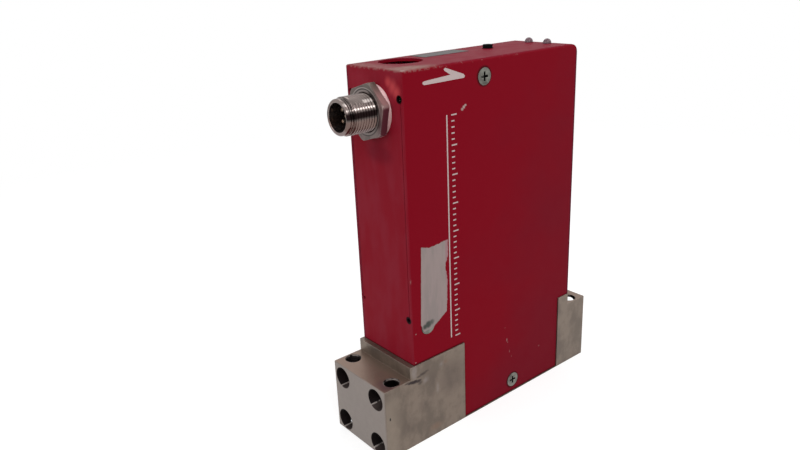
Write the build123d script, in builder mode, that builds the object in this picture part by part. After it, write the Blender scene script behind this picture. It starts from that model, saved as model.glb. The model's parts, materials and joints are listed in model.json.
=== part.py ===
"""Thermal mass flow controller: steel flow block, folded sheet case, boards, flow sensor and piezo valve.

Frame: origin at the centre of the block's bottom face, +X along the flow, +Z up. Sizes in millimetres.
"""
from build123d import *
import os

# ---- fits shared by every piece ----
slip = 0.05                 # radial clearance of a seated round piece
thread_hole_extra = 0.5     # how far a tapped hole runs past its screw

# ---- flow block ----
block_length = 105.0
block_width = 28.6
flange_height = 26.5        # low flange at each end
deck_height = 31.0          # raised middle that carries the case
inlet_flange = 11.6
outlet_flange = 10.5
block_edge = 0.3            # broken edges of the block
bolt_hole = 5.5             # vertical fixing holes
bolt_inset = 6.0            # from the end face to the hole's axis
bolt_side_inset = 3.38      # from the block's side to the hole's axis
end_hole = 7.6              # blind holes in both end faces
end_hole_depth = 12.0
end_hole_side_inset = 4.9   # from the block's side to the hole's axis
end_hole_low = 4.5          # height of the lower pair
end_hole_rise = 17.2        # from the lower pair to the upper pair

# ---- gas ports and passages in the block ----
port_inset = 16.5           # from the end face to the port's axis
port_bore = 4.6
port_height = 13.5          # how far a port is drilled up
port_seal = 12.0            # seal recess round each port
port_seal_depth = 1.5
passage_low = 11.0          # height of the passages from the ports
passage_high = 28.0         # height of the passage from bypass to valve
passage_high_bore = 3.0

# ---- case ----
case_inset = 13.5           # inlet wall, from the block's inlet end
case_outlet_inset = 10.5    # outlet wall, from the block's outlet end
case_side_inset = 0.45      # case's side, from the block's side
case_top = 128.8
sheet = 1.0
side_bend = 0.8             # outer radii of the folds
inlet_bend = 0.5
outlet_bend = 3.0
tongue_inlet_inset = 23.3   # tongue down each side of the block, from the inlet wall
tongue_outlet_inset = 6.2   # and from the outlet wall
tongue_foot = 0.3           # lower end, above the block's bottom
pocket_play = 0.15          # play of the tongue in its milled pocket
relief_top = 2.1            # relief holes at the ends of the corner seams
relief_top_drop = 8.5       # below the case's top
relief_low = 1.3
relief_low_rise = 16.5      # above the deck
relief_inset = 1.65         # from the case's side
seam = 0.22                 # open seam between the inlet wall and each side

# ---- cover screws, countersunk ----
cover_head = 5.6
cover_shank = 3.0
cover_length = 7.0
cover_rim = 0.2             # cylindrical edge of the head
cross_long = 3.1            # cross recess
cross_wide = 0.8
cross_deep = 1.0
upper_screw_drop = 5.8      # below the case's top
tongue_screw_z = 4.8
post_screw_inset = 7.0      # from the inlet wall
post_screw_rise = 12.5      # above the deck

# ---- round connector on the inlet wall ----
connector_drop = 13.2       # axis below the case's top
barrel = 12.0
barrel_reach = 14.2         # from the inlet wall to the rim
barrel_edge = 0.8
socket_bore = 8.6
socket_depth = 9.7          # from the rim to the insulator's face
collar = 16.0               # flange behind the wall
collar_thickness = 2.0
key_width = 1.0             # polarising rib in the socket
key_height = 0.6
washer_outer = 16.8
washer_thickness = 1.2
nut_flats = 16.5
nut_thickness = 2.6
nut_turn = 13.0             # degrees from a corner up to this turn
nut_edge = 0.35
insert_shoulder = 10.2
insert_shoulder_thickness = 1.4
insert_tail = 4.0           # insulator behind the wall's inner face
pin = 1.0
pin_circle_diameter = 5.0
pin_recess = 3.2            # tips below the rim
relief_groove = 11.0        # groove between the seated part of the barrel and its free thread
relief_groove_width = 0.6
pin_tail = 3.5

# ---- top face ----
access_hole = 14.5
access_inset = 14.5         # from the inlet wall
access_y = 4.3
top_label_length = 20.2
top_label_width = 7.4
top_label_offset = 20.2     # from the access hole's axis
top_label_edge = 1.6        # label's far edge, from the fold of the case's side
label_thickness = 0.12
side_label_thickness = 0.12
side_label_length = 12.7    # torn remnant, along the case
side_label_height = 30.0
side_label_inset = 3.7      # from the inlet wall
side_label_rise = 11.0      # above the deck

# ---- push switch ----
button = 3.5
button_led_distance = 21.5  # along the case, from the lamps
button_y = 4.5
button_proud = 1.3
button_travel = 0.25
button_play = 0.3           # radial play in the case's hole
button_flange = 4.8
button_flange_thickness = 0.6
switch_size = 6.0
switch_height = 3.5
switch_roof = 1.0
switch_floor = 0.5
switch_dome = 5.0
switch_dome_thickness = 0.25

# ---- status lamps ----
led = 3.0
led_flange = 3.8
led_flange_thickness = 1.0
led_height = 5.3
led_inset = 5.0             # from the outlet wall
led_spacing = 8.6
led_proud = 1.75
led_play = 0.1

# ---- boards ----
board = 1.6
board_side_gap = 1.25       # upright board to the case's side
board_inlet_gap = 2.0       # to the inlet wall
board_outlet_gap = 3.0      # to the outlet wall
board_deck_gap = 19.0
board_top_gap = 10.2        # to the case's top
indicator_top_gap = 5.6     # indicator board to the case's top
indicator_end_gap = 1.5     # to the outlet wall
indicator_side_gap = 1.85
pan_head = 3.8
pan_head_height = 1.15
pan_shank = 2.0
pan_length = 5.0
header_valve_offset = 2.0   # from the valve's axis towards the inlet
header_pins_count = 6
header_pitch = 2.0
header_pin = 0.64
header_height = 3.0
header_depth = 2.6
header_gap = 1.0            # header's top below the upright board's top

# ---- chassis and upper bracket ----
foot_thickness = 2.0
post_length = 8.0
post_height = 17.0
spine_sensor_gap = 3.3      # spine to the sensor base
spine_thickness = 3.0
spine_top_gap = 1.2         # to the case's top
board_screw_inset = 9.5     # from the upright boards' edges
chassis_screw_spacing = 14.0
bar_length = 12.8
bar_height = 7.0
bar_ear = 6.4               # length of the ears that take the upper screws
bar_ear_inset = 1.0         # from the bar's outlet end
shelf_length = 12.6         # shelf under the indicator board
shelf = 2.0
bracket_screw_spacing = 12.0
indicator_screw_spacing = 15.0

# ---- socket head screws ----
cap_shank = 3.0
cap_head = 5.5
cap_head_height = 3.0
cap_socket = 2.5
cap_length = 12.0

# ---- thermal sensor and bypass ----
sensor_valve_pitch = 24.6   # sensor's axis to the valve's axis
sensor_base_length = 25.0
sensor_base_height = 6.0
base_screw_inset = 3.0      # from the edges of the sensor base and the bonnet
leg_pitch = 18.0
tube = 0.8
tube_bend = 3.0
tube_rise = 31.0            # above the deck
leg_hole = 1.4
seal_section = 0.8
leg_seal_inner = 1.8
leg_seal_outer = 3.2
coil = 2.2
coil_length = 4.4
coil_gap = 1.2
can_length = 21.4
can_screw_gap = 0.25        # can to the heads of the base's screws
can_height = 31.0
can_wall = 1.0
bypass_bore = 11.0
bypass_top = 26.0           # top of the laminar element
bypass_seat = 14.0          # shoulder that the element stands on
bypass_seat_bore = 9.4
bypass_floor = 8.5
bypass_channel = 1.5
bypass_ring_radius = 3.1           # radius of the ring of channels
bypass_seal_outer = 13.4

# ---- piezo valve ----
valve_inset = 18.0          # from the outlet wall
chamber = 16.0
chamber_floor = 23.0
seat_thickness = 3.5
seat_land = 6.0
seat_lift = 0.3             # diaphragm above the land
seat_bore = 3.0
diaphragm = 18.8
diaphragm_thickness = 0.4
bonnet_length = 23.5
bonnet_side_gap = 1.1       # bonnet to the case's side
bonnet_flange = 6.0
bonnet_board_gap = 2.5      # neck to the upright boards
bonnet_wall = 1.6
bonnet_neck_height = 15.0
plunger_play = 0.2          # radial
plunger_nose = 6.0
plunger_nose_height = 3.0
plunger_height = 15.0
plunger_gap = 0.1           # plunger above the diaphragm at rest
piezo_width = 7.0
piezo_height = 40.0
actuator_wall = 1.25
actuator_height = 55.0
actuator_cap_flats = 13.0
actuator_cap_head = 5.0

# ---- chips and capacitors on the upright boards ----
chip_length = 12.0
chip_width = 9.0
chip_height = 1.4
driver_chip_length = 7.0
driver_chip_height = 2.0
capacitor = 8.0
capacitor_height = 9.0
part_drop = 11.0            # upper row of parts, from the boards' top edge
part_rise = 26.0            # lower row, from the boards' lower edge
part_sensor_offset = 2.6    # second column of parts, from the sensor's axis towards the outlet
part_row = 14.0             # between rows

# ---- places worked out from the sizes above ----
end_face = block_length / 2
inlet_step = -end_face + inlet_flange
outlet_step = end_face - outlet_flange
bolt_row = block_width - 2 * bolt_side_inset
end_hole_row = block_width - 2 * end_hole_side_inset
port_x = end_face - port_inset
case_start = -end_face + case_inset
case_end = end_face - case_outlet_inset
case_length = case_end - case_start
case_width = block_width - 2 * case_side_inset
case_half = case_width / 2
inner_half = case_half - sheet
inner_top = case_top - sheet
inner_start = case_start + sheet
inner_end = case_end - sheet
tongue_start = case_start + tongue_inlet_inset
tongue_end = case_end - tongue_outlet_inset
tongue_middle = (tongue_start + tongue_end) / 2
relief_top_z = case_top - relief_top_drop
relief_low_z = deck_height + relief_low_rise
valve_x = case_end - valve_inset
sensor_x = valve_x - sensor_valve_pitch
spine_end = sensor_x - sensor_base_length / 2 - spine_sensor_gap + spine_thickness
spine_x = spine_end - spine_thickness
spine_top = inner_top - spine_top_gap
bar_end = spine_end + bar_length
upper_screw_x = bar_end - bar_ear / 2 - bar_ear_inset
upper_screw_z = case_top - upper_screw_drop
post_screw_x = case_start + post_screw_inset
post_screw_z = deck_height + post_screw_rise
connector_z = case_top - connector_drop
access_x = case_start + access_inset
top_label_x = access_x + top_label_offset
top_label_y = case_half - side_bend - top_label_edge - top_label_width / 2
led_x = case_end - led_inset
button_x = led_x - button_led_distance
board_outer = inner_half - board_side_gap
board_inner = board_outer - board
board_start = inner_start + board_inlet_gap
board_end = inner_end - board_outlet_gap
board_low = deck_height + board_deck_gap
board_top = inner_top - board_top_gap
indicator_top = inner_top - indicator_top_gap
indicator_bottom = indicator_top - board
indicator_end = inner_end - indicator_end_gap
indicator_width = 2 * (inner_half - indicator_side_gap)
indicator_screw_x = bar_end + shelf_length / 2
header_x = valve_x - header_valve_offset
sensor_base_width = 2 * board_inner
sensor_screw_pitch_x = sensor_base_length - 2 * base_screw_inset
sensor_screw_pitch_y = sensor_base_width - 2 * base_screw_inset
can_width = sensor_screw_pitch_y - cap_head - 2 * can_screw_gap
tube_top = deck_height + tube_rise
sensor_top = deck_height + sensor_base_height
bonnet_top = deck_height + bonnet_flange
bonnet_width = 2 * (inner_half - bonnet_side_gap)
bonnet_screw_pitch_x = bonnet_length - 2 * base_screw_inset
bonnet_screw_pitch_y = bonnet_width - 2 * base_screw_inset
bonnet_neck = 2 * (board_inner - bonnet_board_gap)
bonnet_bore = bonnet_neck - 2 * bonnet_wall
plunger = bonnet_bore - 2 * plunger_play
land_height = deck_height - diaphragm_thickness - seat_lift
plunger_bottom = deck_height + plunger_gap
piezo_bottom = plunger_bottom + plunger_height
piezo_top = piezo_bottom + piezo_height
actuator_top = bonnet_top + actuator_height

connector_face = Plane(origin=(case_start, 0, connector_z), x_dir=(0, -1, 0), z_dir=(-1, 0, 0))
connector_seat = connector_face.offset(-sheet)
cover_screw_faces = [
    Plane(origin=(x, side * case_half, z), x_dir=(side, 0, 0), z_dir=(0, side, 0))
    for side in (-1, 1)
    for x, z in (
        (upper_screw_x, upper_screw_z),
        (tongue_middle, tongue_screw_z),
        (post_screw_x, post_screw_z),
    )
]


def countersunk_screw():
    """Cover screw with a cross recess: head's face at z = 0, shank down -Z."""
    with BuildPart() as screw:
        with BuildSketch(Plane.XZ):
            with BuildLine():
                Polyline(
                    (0, 0),
                    (cover_head / 2, 0),
                    (cover_head / 2, -cover_rim),
                    (cover_shank / 2, -cover_rim - (cover_head - cover_shank) / 2),
                    (cover_shank / 2, -cover_length),
                    (0, -cover_length),
                    close=True,
                )
            make_face()
        revolve(axis=Axis.Z)
        with BuildSketch():
            Rectangle(cross_long, cross_wide)
            Rectangle(cross_wide, cross_long)
        extrude(amount=-cross_deep, mode=Mode.SUBTRACT)
    return screw.part


def headed_screw(head, head_height, shank, length, socket=0.0):
    """Screw whose head stands on z = 0, with the shank down -Z, and a hexagon socket or a slot."""
    with BuildPart() as screw:
        with BuildSketch():
            Circle(head / 2)
        extrude(amount=head_height)
        with BuildSketch():
            Circle(shank / 2)
        extrude(amount=-length)
        with BuildSketch(Plane.XY.offset(head_height)):
            if socket:
                RegularPolygon(socket / 2, 6, major_radius=False)
            else:
                Rectangle(0.7 * head, 0.2 * head)
        extrude(amount=-head_height / 2, mode=Mode.SUBTRACT)
    return screw.part


def screw_group(screw, places):
    """Equal screws at the given planes, as one group of separate solids."""
    with BuildPart() as group:
        with Locations(*places):
            add(screw)
    return group.part


def drill_cover_screws():
    """Cut the countersunk way of every cover screw out of the piece being built."""
    with Locations(*cover_screw_faces):
        CounterSinkHole(
            cover_shank / 2 + slip,
            cover_head / 2 + cover_rim + slip,
            cover_length + thread_hole_extra,
            90,
        )


def folded_form(skin):
    """Solid bounded by the folded sheet, its outer skin at 0 and its inner skin at the sheet's thickness."""
    length = case_length - 2 * skin
    height = case_top - deck_height - skin
    with BuildPart() as form:
        with BuildSketch(Plane.XZ) as side_view:
            with Locations(((case_start + case_end) / 2, deck_height + height / 2)):
                Rectangle(length, height)
            top_corners = side_view.vertices().group_by(Axis.Y)[-1].sort_by(Axis.X)
            fillet(top_corners[0], max(inlet_bend - skin, slip))
            top_corners = side_view.vertices().group_by(Axis.Y)[-1].sort_by(Axis.X)
            fillet(top_corners[-1], outlet_bend - skin)
        extrude(amount=case_half, both=True)
        with BuildSketch(Plane.YZ) as end_view:
            with Locations((0, deck_height + height / 2)):
                Rectangle(case_width - 2 * skin, height)
            fillet(end_view.vertices().group_by(Axis.Y)[-1], max(side_bend - skin, slip))
        extrude(amount=block_length, both=True, mode=Mode.INTERSECT)
    return form.part


# ======== flow block ========
with BuildPart() as base_block:
    with BuildSketch(Plane.XZ):
        with BuildLine():
            Polyline(
                (-end_face, 0),
                (end_face, 0),
                (end_face, flange_height),
                (outlet_step, flange_height),
                (outlet_step, deck_height),
                (inlet_step, deck_height),
                (inlet_step, flange_height),
                (-end_face, flange_height),
                close=True,
            )
        make_face()
    extrude(amount=block_width / 2, both=True)
    chamfer(base_block.edges().filter_by(Axis.Z), block_edge)
    chamfer(base_block.edges().filter_by(Axis.Y).group_by(Axis.X)[0], block_edge)
    chamfer(base_block.edges().filter_by(Axis.Y).group_by(Axis.X)[-1], block_edge)

    # milled pockets that the case's tongues lie in
    with BuildSketch(Plane.XY.offset(tongue_foot - pocket_play)):
        with Locations((tongue_middle, 0)):
            Rectangle(tongue_end - tongue_start + 2 * pocket_play, 2 * block_width)
            Rectangle(2 * block_length, 2 * inner_half, mode=Mode.SUBTRACT)
    extrude(amount=deck_height, mode=Mode.SUBTRACT)

    # blind holes in both end faces
    for end in (-1, 1):
        end_plane = Plane(origin=(end * end_face, 0, 0), x_dir=(0, 1, 0), z_dir=(end, 0, 0))
        with BuildSketch(end_plane):
            with Locations((0, end * (end_hole_low + end_hole_rise / 2))):
                with GridLocations(end_hole_row, end_hole_rise, 2, 2):
                    Circle(end_hole / 2)
        extrude(amount=-end_hole_depth, mode=Mode.SUBTRACT)

    # vertical fixing holes through the flanges
    with BuildSketch():
        with GridLocations(block_length - 2 * bolt_inset, bolt_row, 2, 2):
            Circle(bolt_hole / 2)
    extrude(amount=flange_height, mode=Mode.SUBTRACT)

    # gas ports with their seal recesses, and the passages to the bypass and the valve
    with BuildSketch():
        with GridLocations(2 * port_x, 0, 2, 1):
            Circle(port_bore / 2)
    extrude(amount=port_height, mode=Mode.SUBTRACT)
    with BuildSketch():
        with GridLocations(2 * port_x, 0, 2, 1):
            Circle(port_seal / 2)
    extrude(amount=port_seal_depth, mode=Mode.SUBTRACT)
    with BuildSketch(Plane.YZ.offset(-port_x)):
        with Locations((0, passage_low)):
            Circle(port_bore / 2)
    extrude(amount=port_x + sensor_x, mode=Mode.SUBTRACT)
    with BuildSketch(Plane.YZ.offset(valve_x)):
        with Locations((0, passage_low)):
            Circle(port_bore / 2)
    extrude(amount=port_x - valve_x, mode=Mode.SUBTRACT)
    with BuildSketch(Plane.YZ.offset(sensor_x)):
        with Locations((0, passage_high)):
            Circle(passage_high_bore / 2)
    extrude(amount=valve_x - sensor_x, mode=Mode.SUBTRACT)

    # bypass bore, sensor taps, and valve chamber with its outlet and diaphragm recess
    for hole, floor in ((bypass_bore, bypass_seat), (bypass_seat_bore, bypass_floor)):
        with BuildSketch(Plane.XY.offset(floor)):
            with Locations((sensor_x, 0)):
                Circle(hole / 2)
        extrude(amount=deck_height - floor, mode=Mode.SUBTRACT)
    for tap, floor in ((-leg_pitch / 2, passage_low), (leg_pitch / 2, passage_high)):
        with BuildSketch(Plane.XY.offset(floor)):
            with Locations((sensor_x + tap, 0)):
                Circle(leg_hole / 2)
        extrude(amount=deck_height - floor, mode=Mode.SUBTRACT)
    valve_cuts = (
        (port_bore, passage_low),
        (chamber, chamber_floor),
        (diaphragm + 2 * slip, deck_height - diaphragm_thickness),
    )
    for hole, floor in valve_cuts:
        with BuildSketch(Plane.XY.offset(floor)):
            with Locations((valve_x, 0)):
                Circle(hole / 2)
        extrude(amount=deck_height - floor, mode=Mode.SUBTRACT)

    # tapped holes for the sensor, the valve, the chassis and the tongues
    with BuildSketch(Plane.XY.offset(deck_height)):
        with Locations((sensor_x, 0)):
            with GridLocations(sensor_screw_pitch_x, sensor_screw_pitch_y, 2, 2):
                Circle(cap_shank / 2 + slip)
        with Locations((valve_x, 0)):
            with GridLocations(bonnet_screw_pitch_x, bonnet_screw_pitch_y, 2, 2):
                Circle(cap_shank / 2 + slip)
        with Locations((post_screw_x, 0)):
            with GridLocations(0, chassis_screw_spacing, 1, 2):
                Circle(cap_shank / 2 + slip)
    extrude(amount=-cap_length + foot_thickness - thread_hole_extra, mode=Mode.SUBTRACT)
    drill_cover_screws()

# ======== folded sheet case ========
with BuildPart() as case_cover:
    add(folded_form(0))
    add(folded_form(sheet), mode=Mode.SUBTRACT)

    # tongue down each side
    with BuildSketch(Plane.XY.offset(tongue_foot)):
        with Locations((tongue_middle, 0)):
            Rectangle(tongue_end - tongue_start, case_width)
            Rectangle(tongue_end - tongue_start, 2 * inner_half, mode=Mode.SUBTRACT)
    extrude(amount=deck_height - tongue_foot)

    # openings in the top face
    with BuildSketch(Plane.XY.offset(inner_top)):
        with Locations((access_x, access_y)):
            Circle(access_hole / 2)
        with Locations((button_x, button_y)):
            Circle(button / 2 + button_play)
        with Locations((led_x, 0)):
            with GridLocations(0, led_spacing, 1, 2):
                Circle(led / 2 + led_play)
    extrude(amount=sheet, mode=Mode.SUBTRACT)

    # connector hole, corner seams and their relief holes in the inlet wall
    with BuildSketch(Plane.YZ.offset(case_start)):
        with Locations((0, connector_z)):
            Circle(barrel / 2 + slip)
        for side in (-1, 1):
            with Locations((side * (inner_half - seam / 2), (relief_low_z + relief_top_z) / 2)):
                Rectangle(seam, relief_top_z - relief_low_z)
            with Locations((side * (case_half - relief_inset), relief_top_z)):
                Circle(relief_top / 2)
            with Locations((side * (case_half - relief_inset), relief_low_z)):
                Circle(relief_low / 2)
    extrude(amount=sheet, mode=Mode.SUBTRACT)
    drill_cover_screws()

# ======== round connector ========
with BuildPart() as connector_shell:
    with BuildSketch(connector_seat):
        Circle(barrel / 2)
    extrude(amount=sheet + barrel_reach)
    chamfer(connector_shell.faces().sort_by(Axis.X)[0].edges(), barrel_edge)
    with BuildSketch(connector_face.offset(washer_thickness + nut_thickness)):
        Circle(barrel / 2)
        Circle(relief_groove / 2, mode=Mode.SUBTRACT)
    extrude(amount=relief_groove_width, mode=Mode.SUBTRACT)
    with BuildSketch(connector_seat):
        Circle(collar / 2)
    extrude(amount=-collar_thickness)
    with BuildSketch(connector_seat.offset(-collar_thickness)):
        Circle(socket_bore / 2)
    extrude(amount=collar_thickness + sheet + barrel_reach, mode=Mode.SUBTRACT)
    with BuildSketch(connector_seat.offset(-collar_thickness)):
        Circle(insert_shoulder / 2 + slip)
    extrude(amount=insert_shoulder_thickness, mode=Mode.SUBTRACT)
    with BuildSketch(connector_face.offset(barrel_reach - socket_depth)):
        with Locations((0, socket_bore / 2 - key_height / 2 + slip)):
            Rectangle(key_width, key_height)
    extrude(amount=socket_depth - pin_recess)

with BuildPart() as connector_washer:
    with BuildSketch(connector_face):
        Circle(washer_outer / 2)
        Circle(barrel / 2 + slip, mode=Mode.SUBTRACT)
    extrude(amount=washer_thickness)

with BuildPart() as connector_nut:
    nut_face = connector_face.offset(washer_thickness)
    with BuildSketch(nut_face):
        RegularPolygon(nut_flats / 2, 6, major_radius=False, rotation=90 - nut_turn)
    extrude(amount=nut_thickness)
    with BuildPart(mode=Mode.INTERSECT) as nut_turning:
        with BuildSketch(nut_face):
            RegularPolygon(nut_flats / 2, 6, major_radius=False)
            Circle(nut_flats * 0.57, mode=Mode.INTERSECT)
            Circle(nut_flats * 0.57)
        extrude(amount=nut_thickness)
        chamfer(nut_turning.edges().filter_by(GeomType.CIRCLE).group_by(Axis.X)[0], nut_edge)
    with BuildSketch(nut_face):
        Circle(barrel / 2 + slip)
    extrude(amount=nut_thickness, mode=Mode.SUBTRACT)
    bore_rims = connector_nut.edges().filter_by(GeomType.CIRCLE).group_by(Axis.X)[0]
    chamfer(bore_rims.sort_by(SortBy.RADIUS)[0], nut_edge)

with BuildPart() as connector_insert:
    with BuildSketch(connector_seat.offset(-insert_tail)):
        Circle(socket_bore / 2 - slip)
    extrude(amount=insert_tail + sheet + barrel_reach - socket_depth)
    with BuildSketch(connector_seat.offset(-collar_thickness)):
        Circle(insert_shoulder / 2)
    extrude(amount=insert_shoulder_thickness)
    with BuildSketch(connector_seat.offset(-insert_tail)):
        Circle(pin / 2 + slip)
        with PolarLocations(pin_circle_diameter / 2, 4, start_angle=45):
            Circle(pin / 2 + slip)
    extrude(amount=insert_tail + sheet + barrel_reach, mode=Mode.SUBTRACT)

with BuildPart() as connector_pins:
    with BuildSketch(connector_seat.offset(-insert_tail - pin_tail)):
        Circle(pin / 2)
        with PolarLocations(pin_circle_diameter / 2, 4, start_angle=45):
            Circle(pin / 2)
    extrude(amount=pin_tail + insert_tail + sheet + barrel_reach - pin_recess)

# ======== screws of the case ========
cover_screws = screw_group(countersunk_screw(), cover_screw_faces)

# ======== labels ========
with BuildPart() as top_label:
    with BuildSketch(Plane.XY.offset(case_top)):
        with Locations((top_label_x, top_label_y)):
            Rectangle(top_label_length, top_label_width)
    extrude(amount=label_thickness)

# outline of the torn remnant, as shares of its length and height from its lower inlet corner
torn_outline = (
    (0.08, 1.0), (0.0, 0.04), (0.12, 0.0), (0.50, 0.05),
    (0.86, 0.11), (0.89, 0.43), (1.0, 0.72), (0.96, 0.99),
)
with BuildPart() as side_label:
    with BuildSketch(Plane.XZ.offset(case_half)):
        with BuildLine():
            Polyline(
                [
                    (
                        case_start + side_label_inset + u * side_label_length,
                        deck_height + side_label_rise + v * side_label_height,
                    )
                    for u, v in torn_outline
                ],
                close=True,
            )
        make_face()
    extrude(amount=side_label_thickness)

# ======== push switch ========
with BuildPart() as switch_body:
    with BuildSketch(Plane.XY.offset(indicator_top)):
        with Locations((button_x, button_y)):
            Rectangle(switch_size, switch_size)
    extrude(amount=switch_height)
    with BuildSketch(Plane.XY.offset(indicator_top + switch_floor)):
        with Locations((button_x, button_y)):
            Circle(switch_dome / 2 + slip)
    extrude(amount=switch_height - switch_floor - switch_roof, mode=Mode.SUBTRACT)
    with BuildSketch(Plane.XY.offset(indicator_top + switch_height - switch_roof)):
        with Locations((button_x, button_y)):
            Circle(button / 2 + 2 * slip)
    extrude(amount=switch_roof, mode=Mode.SUBTRACT)

with BuildPart() as switch_dome_piece:
    with BuildSketch(Plane.XY.offset(indicator_top + switch_floor)):
        with Locations((button_x, button_y)):
            Circle(switch_dome / 2)
    extrude(amount=switch_dome_thickness)

button_shoulder = indicator_top + switch_height - switch_roof - slip
dome_top = indicator_top + switch_floor + switch_dome_thickness
button_foot = dome_top + button_travel + 2 * slip
with BuildPart() as zero_button:
    with BuildSketch(Plane.XY.offset(button_foot)):
        with Locations((button_x, button_y)):
            Circle(button / 4)
    extrude(amount=button_shoulder - button_foot)
    with BuildSketch(Plane.XY.offset(button_shoulder - button_flange_thickness)):
        with Locations((button_x, button_y)):
            Circle(button_flange / 2)
    extrude(amount=button_flange_thickness)
    with BuildSketch(Plane.XY.offset(button_shoulder)):
        with Locations((button_x, button_y)):
            Circle(button / 2)
    extrude(amount=case_top + button_proud - button_shoulder)
    chamfer(zero_button.faces().sort_by(Axis.Z)[-1].edges(), 2 * slip)

# ======== status lamps on their spacers ========
led_foot = case_top + led_proud - led_height
with BuildPart() as status_leds:
    with BuildSketch(Plane.XY.offset(led_foot)):
        with Locations((led_x, 0)):
            with GridLocations(0, led_spacing, 1, 2):
                Circle(led_flange / 2)
    extrude(amount=led_flange_thickness)
    with BuildSketch(Plane.XY.offset(led_foot)):
        with Locations((led_x, 0)):
            with GridLocations(0, led_spacing, 1, 2):
                Circle(led / 2)
    extrude(amount=led_height - led / 2)
    with Locations((led_x, 0, led_foot + led_height - led / 2)):
        with GridLocations(0, led_spacing, 1, 2):
            Sphere(led / 2)

with BuildPart() as led_spacers:
    with BuildSketch(Plane.XY.offset(indicator_top)):
        with Locations((led_x, 0)):
            with GridLocations(0, led_spacing, 1, 2):
                Circle(led_flange / 2)
    extrude(amount=led_foot - indicator_top)

# ======== boards ========
upright_screw_spots = [
    (spine_x + spine_thickness / 2, z)
    for z in (board_low + board_screw_inset, board_top - board_screw_inset)
]


def upright_board(side):
    """Board standing on edge beside the middle plane, on the given side."""
    with BuildPart() as upright:
        with BuildSketch(Plane.XZ.offset(-side * board_inner)):
            with Locations(((board_start + board_end) / 2, (board_low + board_top) / 2)):
                Rectangle(board_end - board_start, board_top - board_low)
            with Locations(*upright_screw_spots):
                Circle(pan_shank / 2 + slip, mode=Mode.SUBTRACT)
        extrude(amount=-side * board)
    return upright.part


main_board = upright_board(1)
driver_board = upright_board(-1)

board_screw_planes = [
    Plane(origin=(x, side * board_outer, z), x_dir=(side, 0, 0), z_dir=(0, side, 0))
    for side in (-1, 1)
    for x, z in upright_screw_spots
]
pan_screw = headed_screw(pan_head, pan_head_height, pan_shank, pan_length)
board_screws = screw_group(pan_screw, board_screw_planes)

first_column = (board_start + spine_x) / 2
second_column = sensor_x + part_sensor_offset
with BuildPart() as board_chips:
    with BuildSketch(Plane.XZ.offset(-board_inner)):
        with Locations(
            (first_column, board_low + part_rise),
            (second_column, board_top - part_drop),
            (second_column, board_top - part_drop - part_row),
        ):
            Rectangle(chip_length, chip_width)
    extrude(amount=chip_height)
    with BuildSketch(Plane.XZ.offset(board_inner)):
        with Locations(
            (first_column, board_low + part_rise),
            (second_column - chip_length / 2, board_top - part_drop),
            (second_column + chip_length / 2, board_top - part_drop),
        ):
            Rectangle(driver_chip_length, chip_width)
    extrude(amount=-driver_chip_height)

with BuildPart() as capacitors:
    with BuildSketch(Plane.XZ.offset(board_inner)):
        with Locations(
            (first_column, board_low + part_rise - part_row),
            (first_column, board_low + part_rise + part_row),
        ):
            Circle(capacitor / 2)
    extrude(amount=-capacitor_height)

with BuildPart() as indicator_board:
    with BuildSketch(Plane.XY.offset(indicator_bottom)):
        with Locations(((bar_end + indicator_end) / 2, 0)):
            Rectangle(indicator_end - bar_end, indicator_width)
        with Locations((indicator_screw_x, 0)):
            with GridLocations(0, indicator_screw_spacing, 1, 2):
                Circle(pan_shank / 2 + slip, mode=Mode.SUBTRACT)
        with Locations((header_x, board_inner - header_depth / 2)):
            with GridLocations(header_pitch, 0, header_pins_count, 1):
                Rectangle(header_pin + 2 * slip, header_pin + 2 * slip, mode=Mode.SUBTRACT)
    extrude(amount=board)

indicator_screw_planes = [
    Plane.XY.offset(indicator_top).move(Location((indicator_screw_x, side * indicator_screw_spacing / 2, 0)))
    for side in (-1, 1)
]
indicator_screws = screw_group(
    headed_screw(pan_head, pan_head_height, pan_shank, board + shelf), indicator_screw_planes
)

header_top = board_top - header_gap
with BuildPart() as header_housing:
    with BuildSketch(Plane.XY.offset(header_top - header_height)):
        with Locations((header_x, board_inner - header_depth / 2)):
            Rectangle(header_pins_count * header_pitch, header_depth)
            with GridLocations(header_pitch, 0, header_pins_count, 1):
                Rectangle(header_pin, header_pin, mode=Mode.SUBTRACT)
    extrude(amount=header_height)

with BuildPart() as header_pins:
    with BuildSketch(Plane.XY.offset(header_top - header_height)):
        with Locations((header_x, board_inner - header_depth / 2)):
            with GridLocations(header_pitch, 0, header_pins_count, 1):
                Rectangle(header_pin, header_pin)
    extrude(amount=indicator_top + header_pin - header_top + header_height)

# ======== chassis and upper bracket ========
with BuildPart() as chassis:
    post_start = post_screw_x - post_length / 2
    with BuildSketch(Plane.XZ):
        with BuildLine():
            Polyline(
                (post_start, deck_height),
                (spine_end, deck_height),
                (spine_end, spine_top),
                (spine_x, spine_top),
                (spine_x, deck_height + foot_thickness),
                (post_start, deck_height + foot_thickness),
                close=True,
            )
        make_face()
    extrude(amount=board_inner, both=True)
    with BuildSketch(Plane.XY.offset(deck_height)):
        with Locations((post_screw_x, 0)):
            Rectangle(post_length, 2 * inner_half)
    extrude(amount=post_height)
    with Locations((post_screw_x, 0, deck_height + post_height)):
        with GridLocations(0, chassis_screw_spacing, 1, 2):
            CounterBoreHole(cap_shank / 2 + slip, cap_head / 2 + 2 * slip, post_height - foot_thickness)
    with Locations(*board_screw_planes):
        Hole(pan_shank / 2 + slip, pan_length + thread_hole_extra)
    with BuildSketch(Plane.YZ.offset(spine_x)):
        with Locations((0, spine_top - bar_height / 2)):
            with GridLocations(bracket_screw_spacing, 0, 2, 1):
                Circle(pan_shank / 2 + slip)
    extrude(amount=spine_thickness, mode=Mode.SUBTRACT)
    drill_cover_screws()

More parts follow.
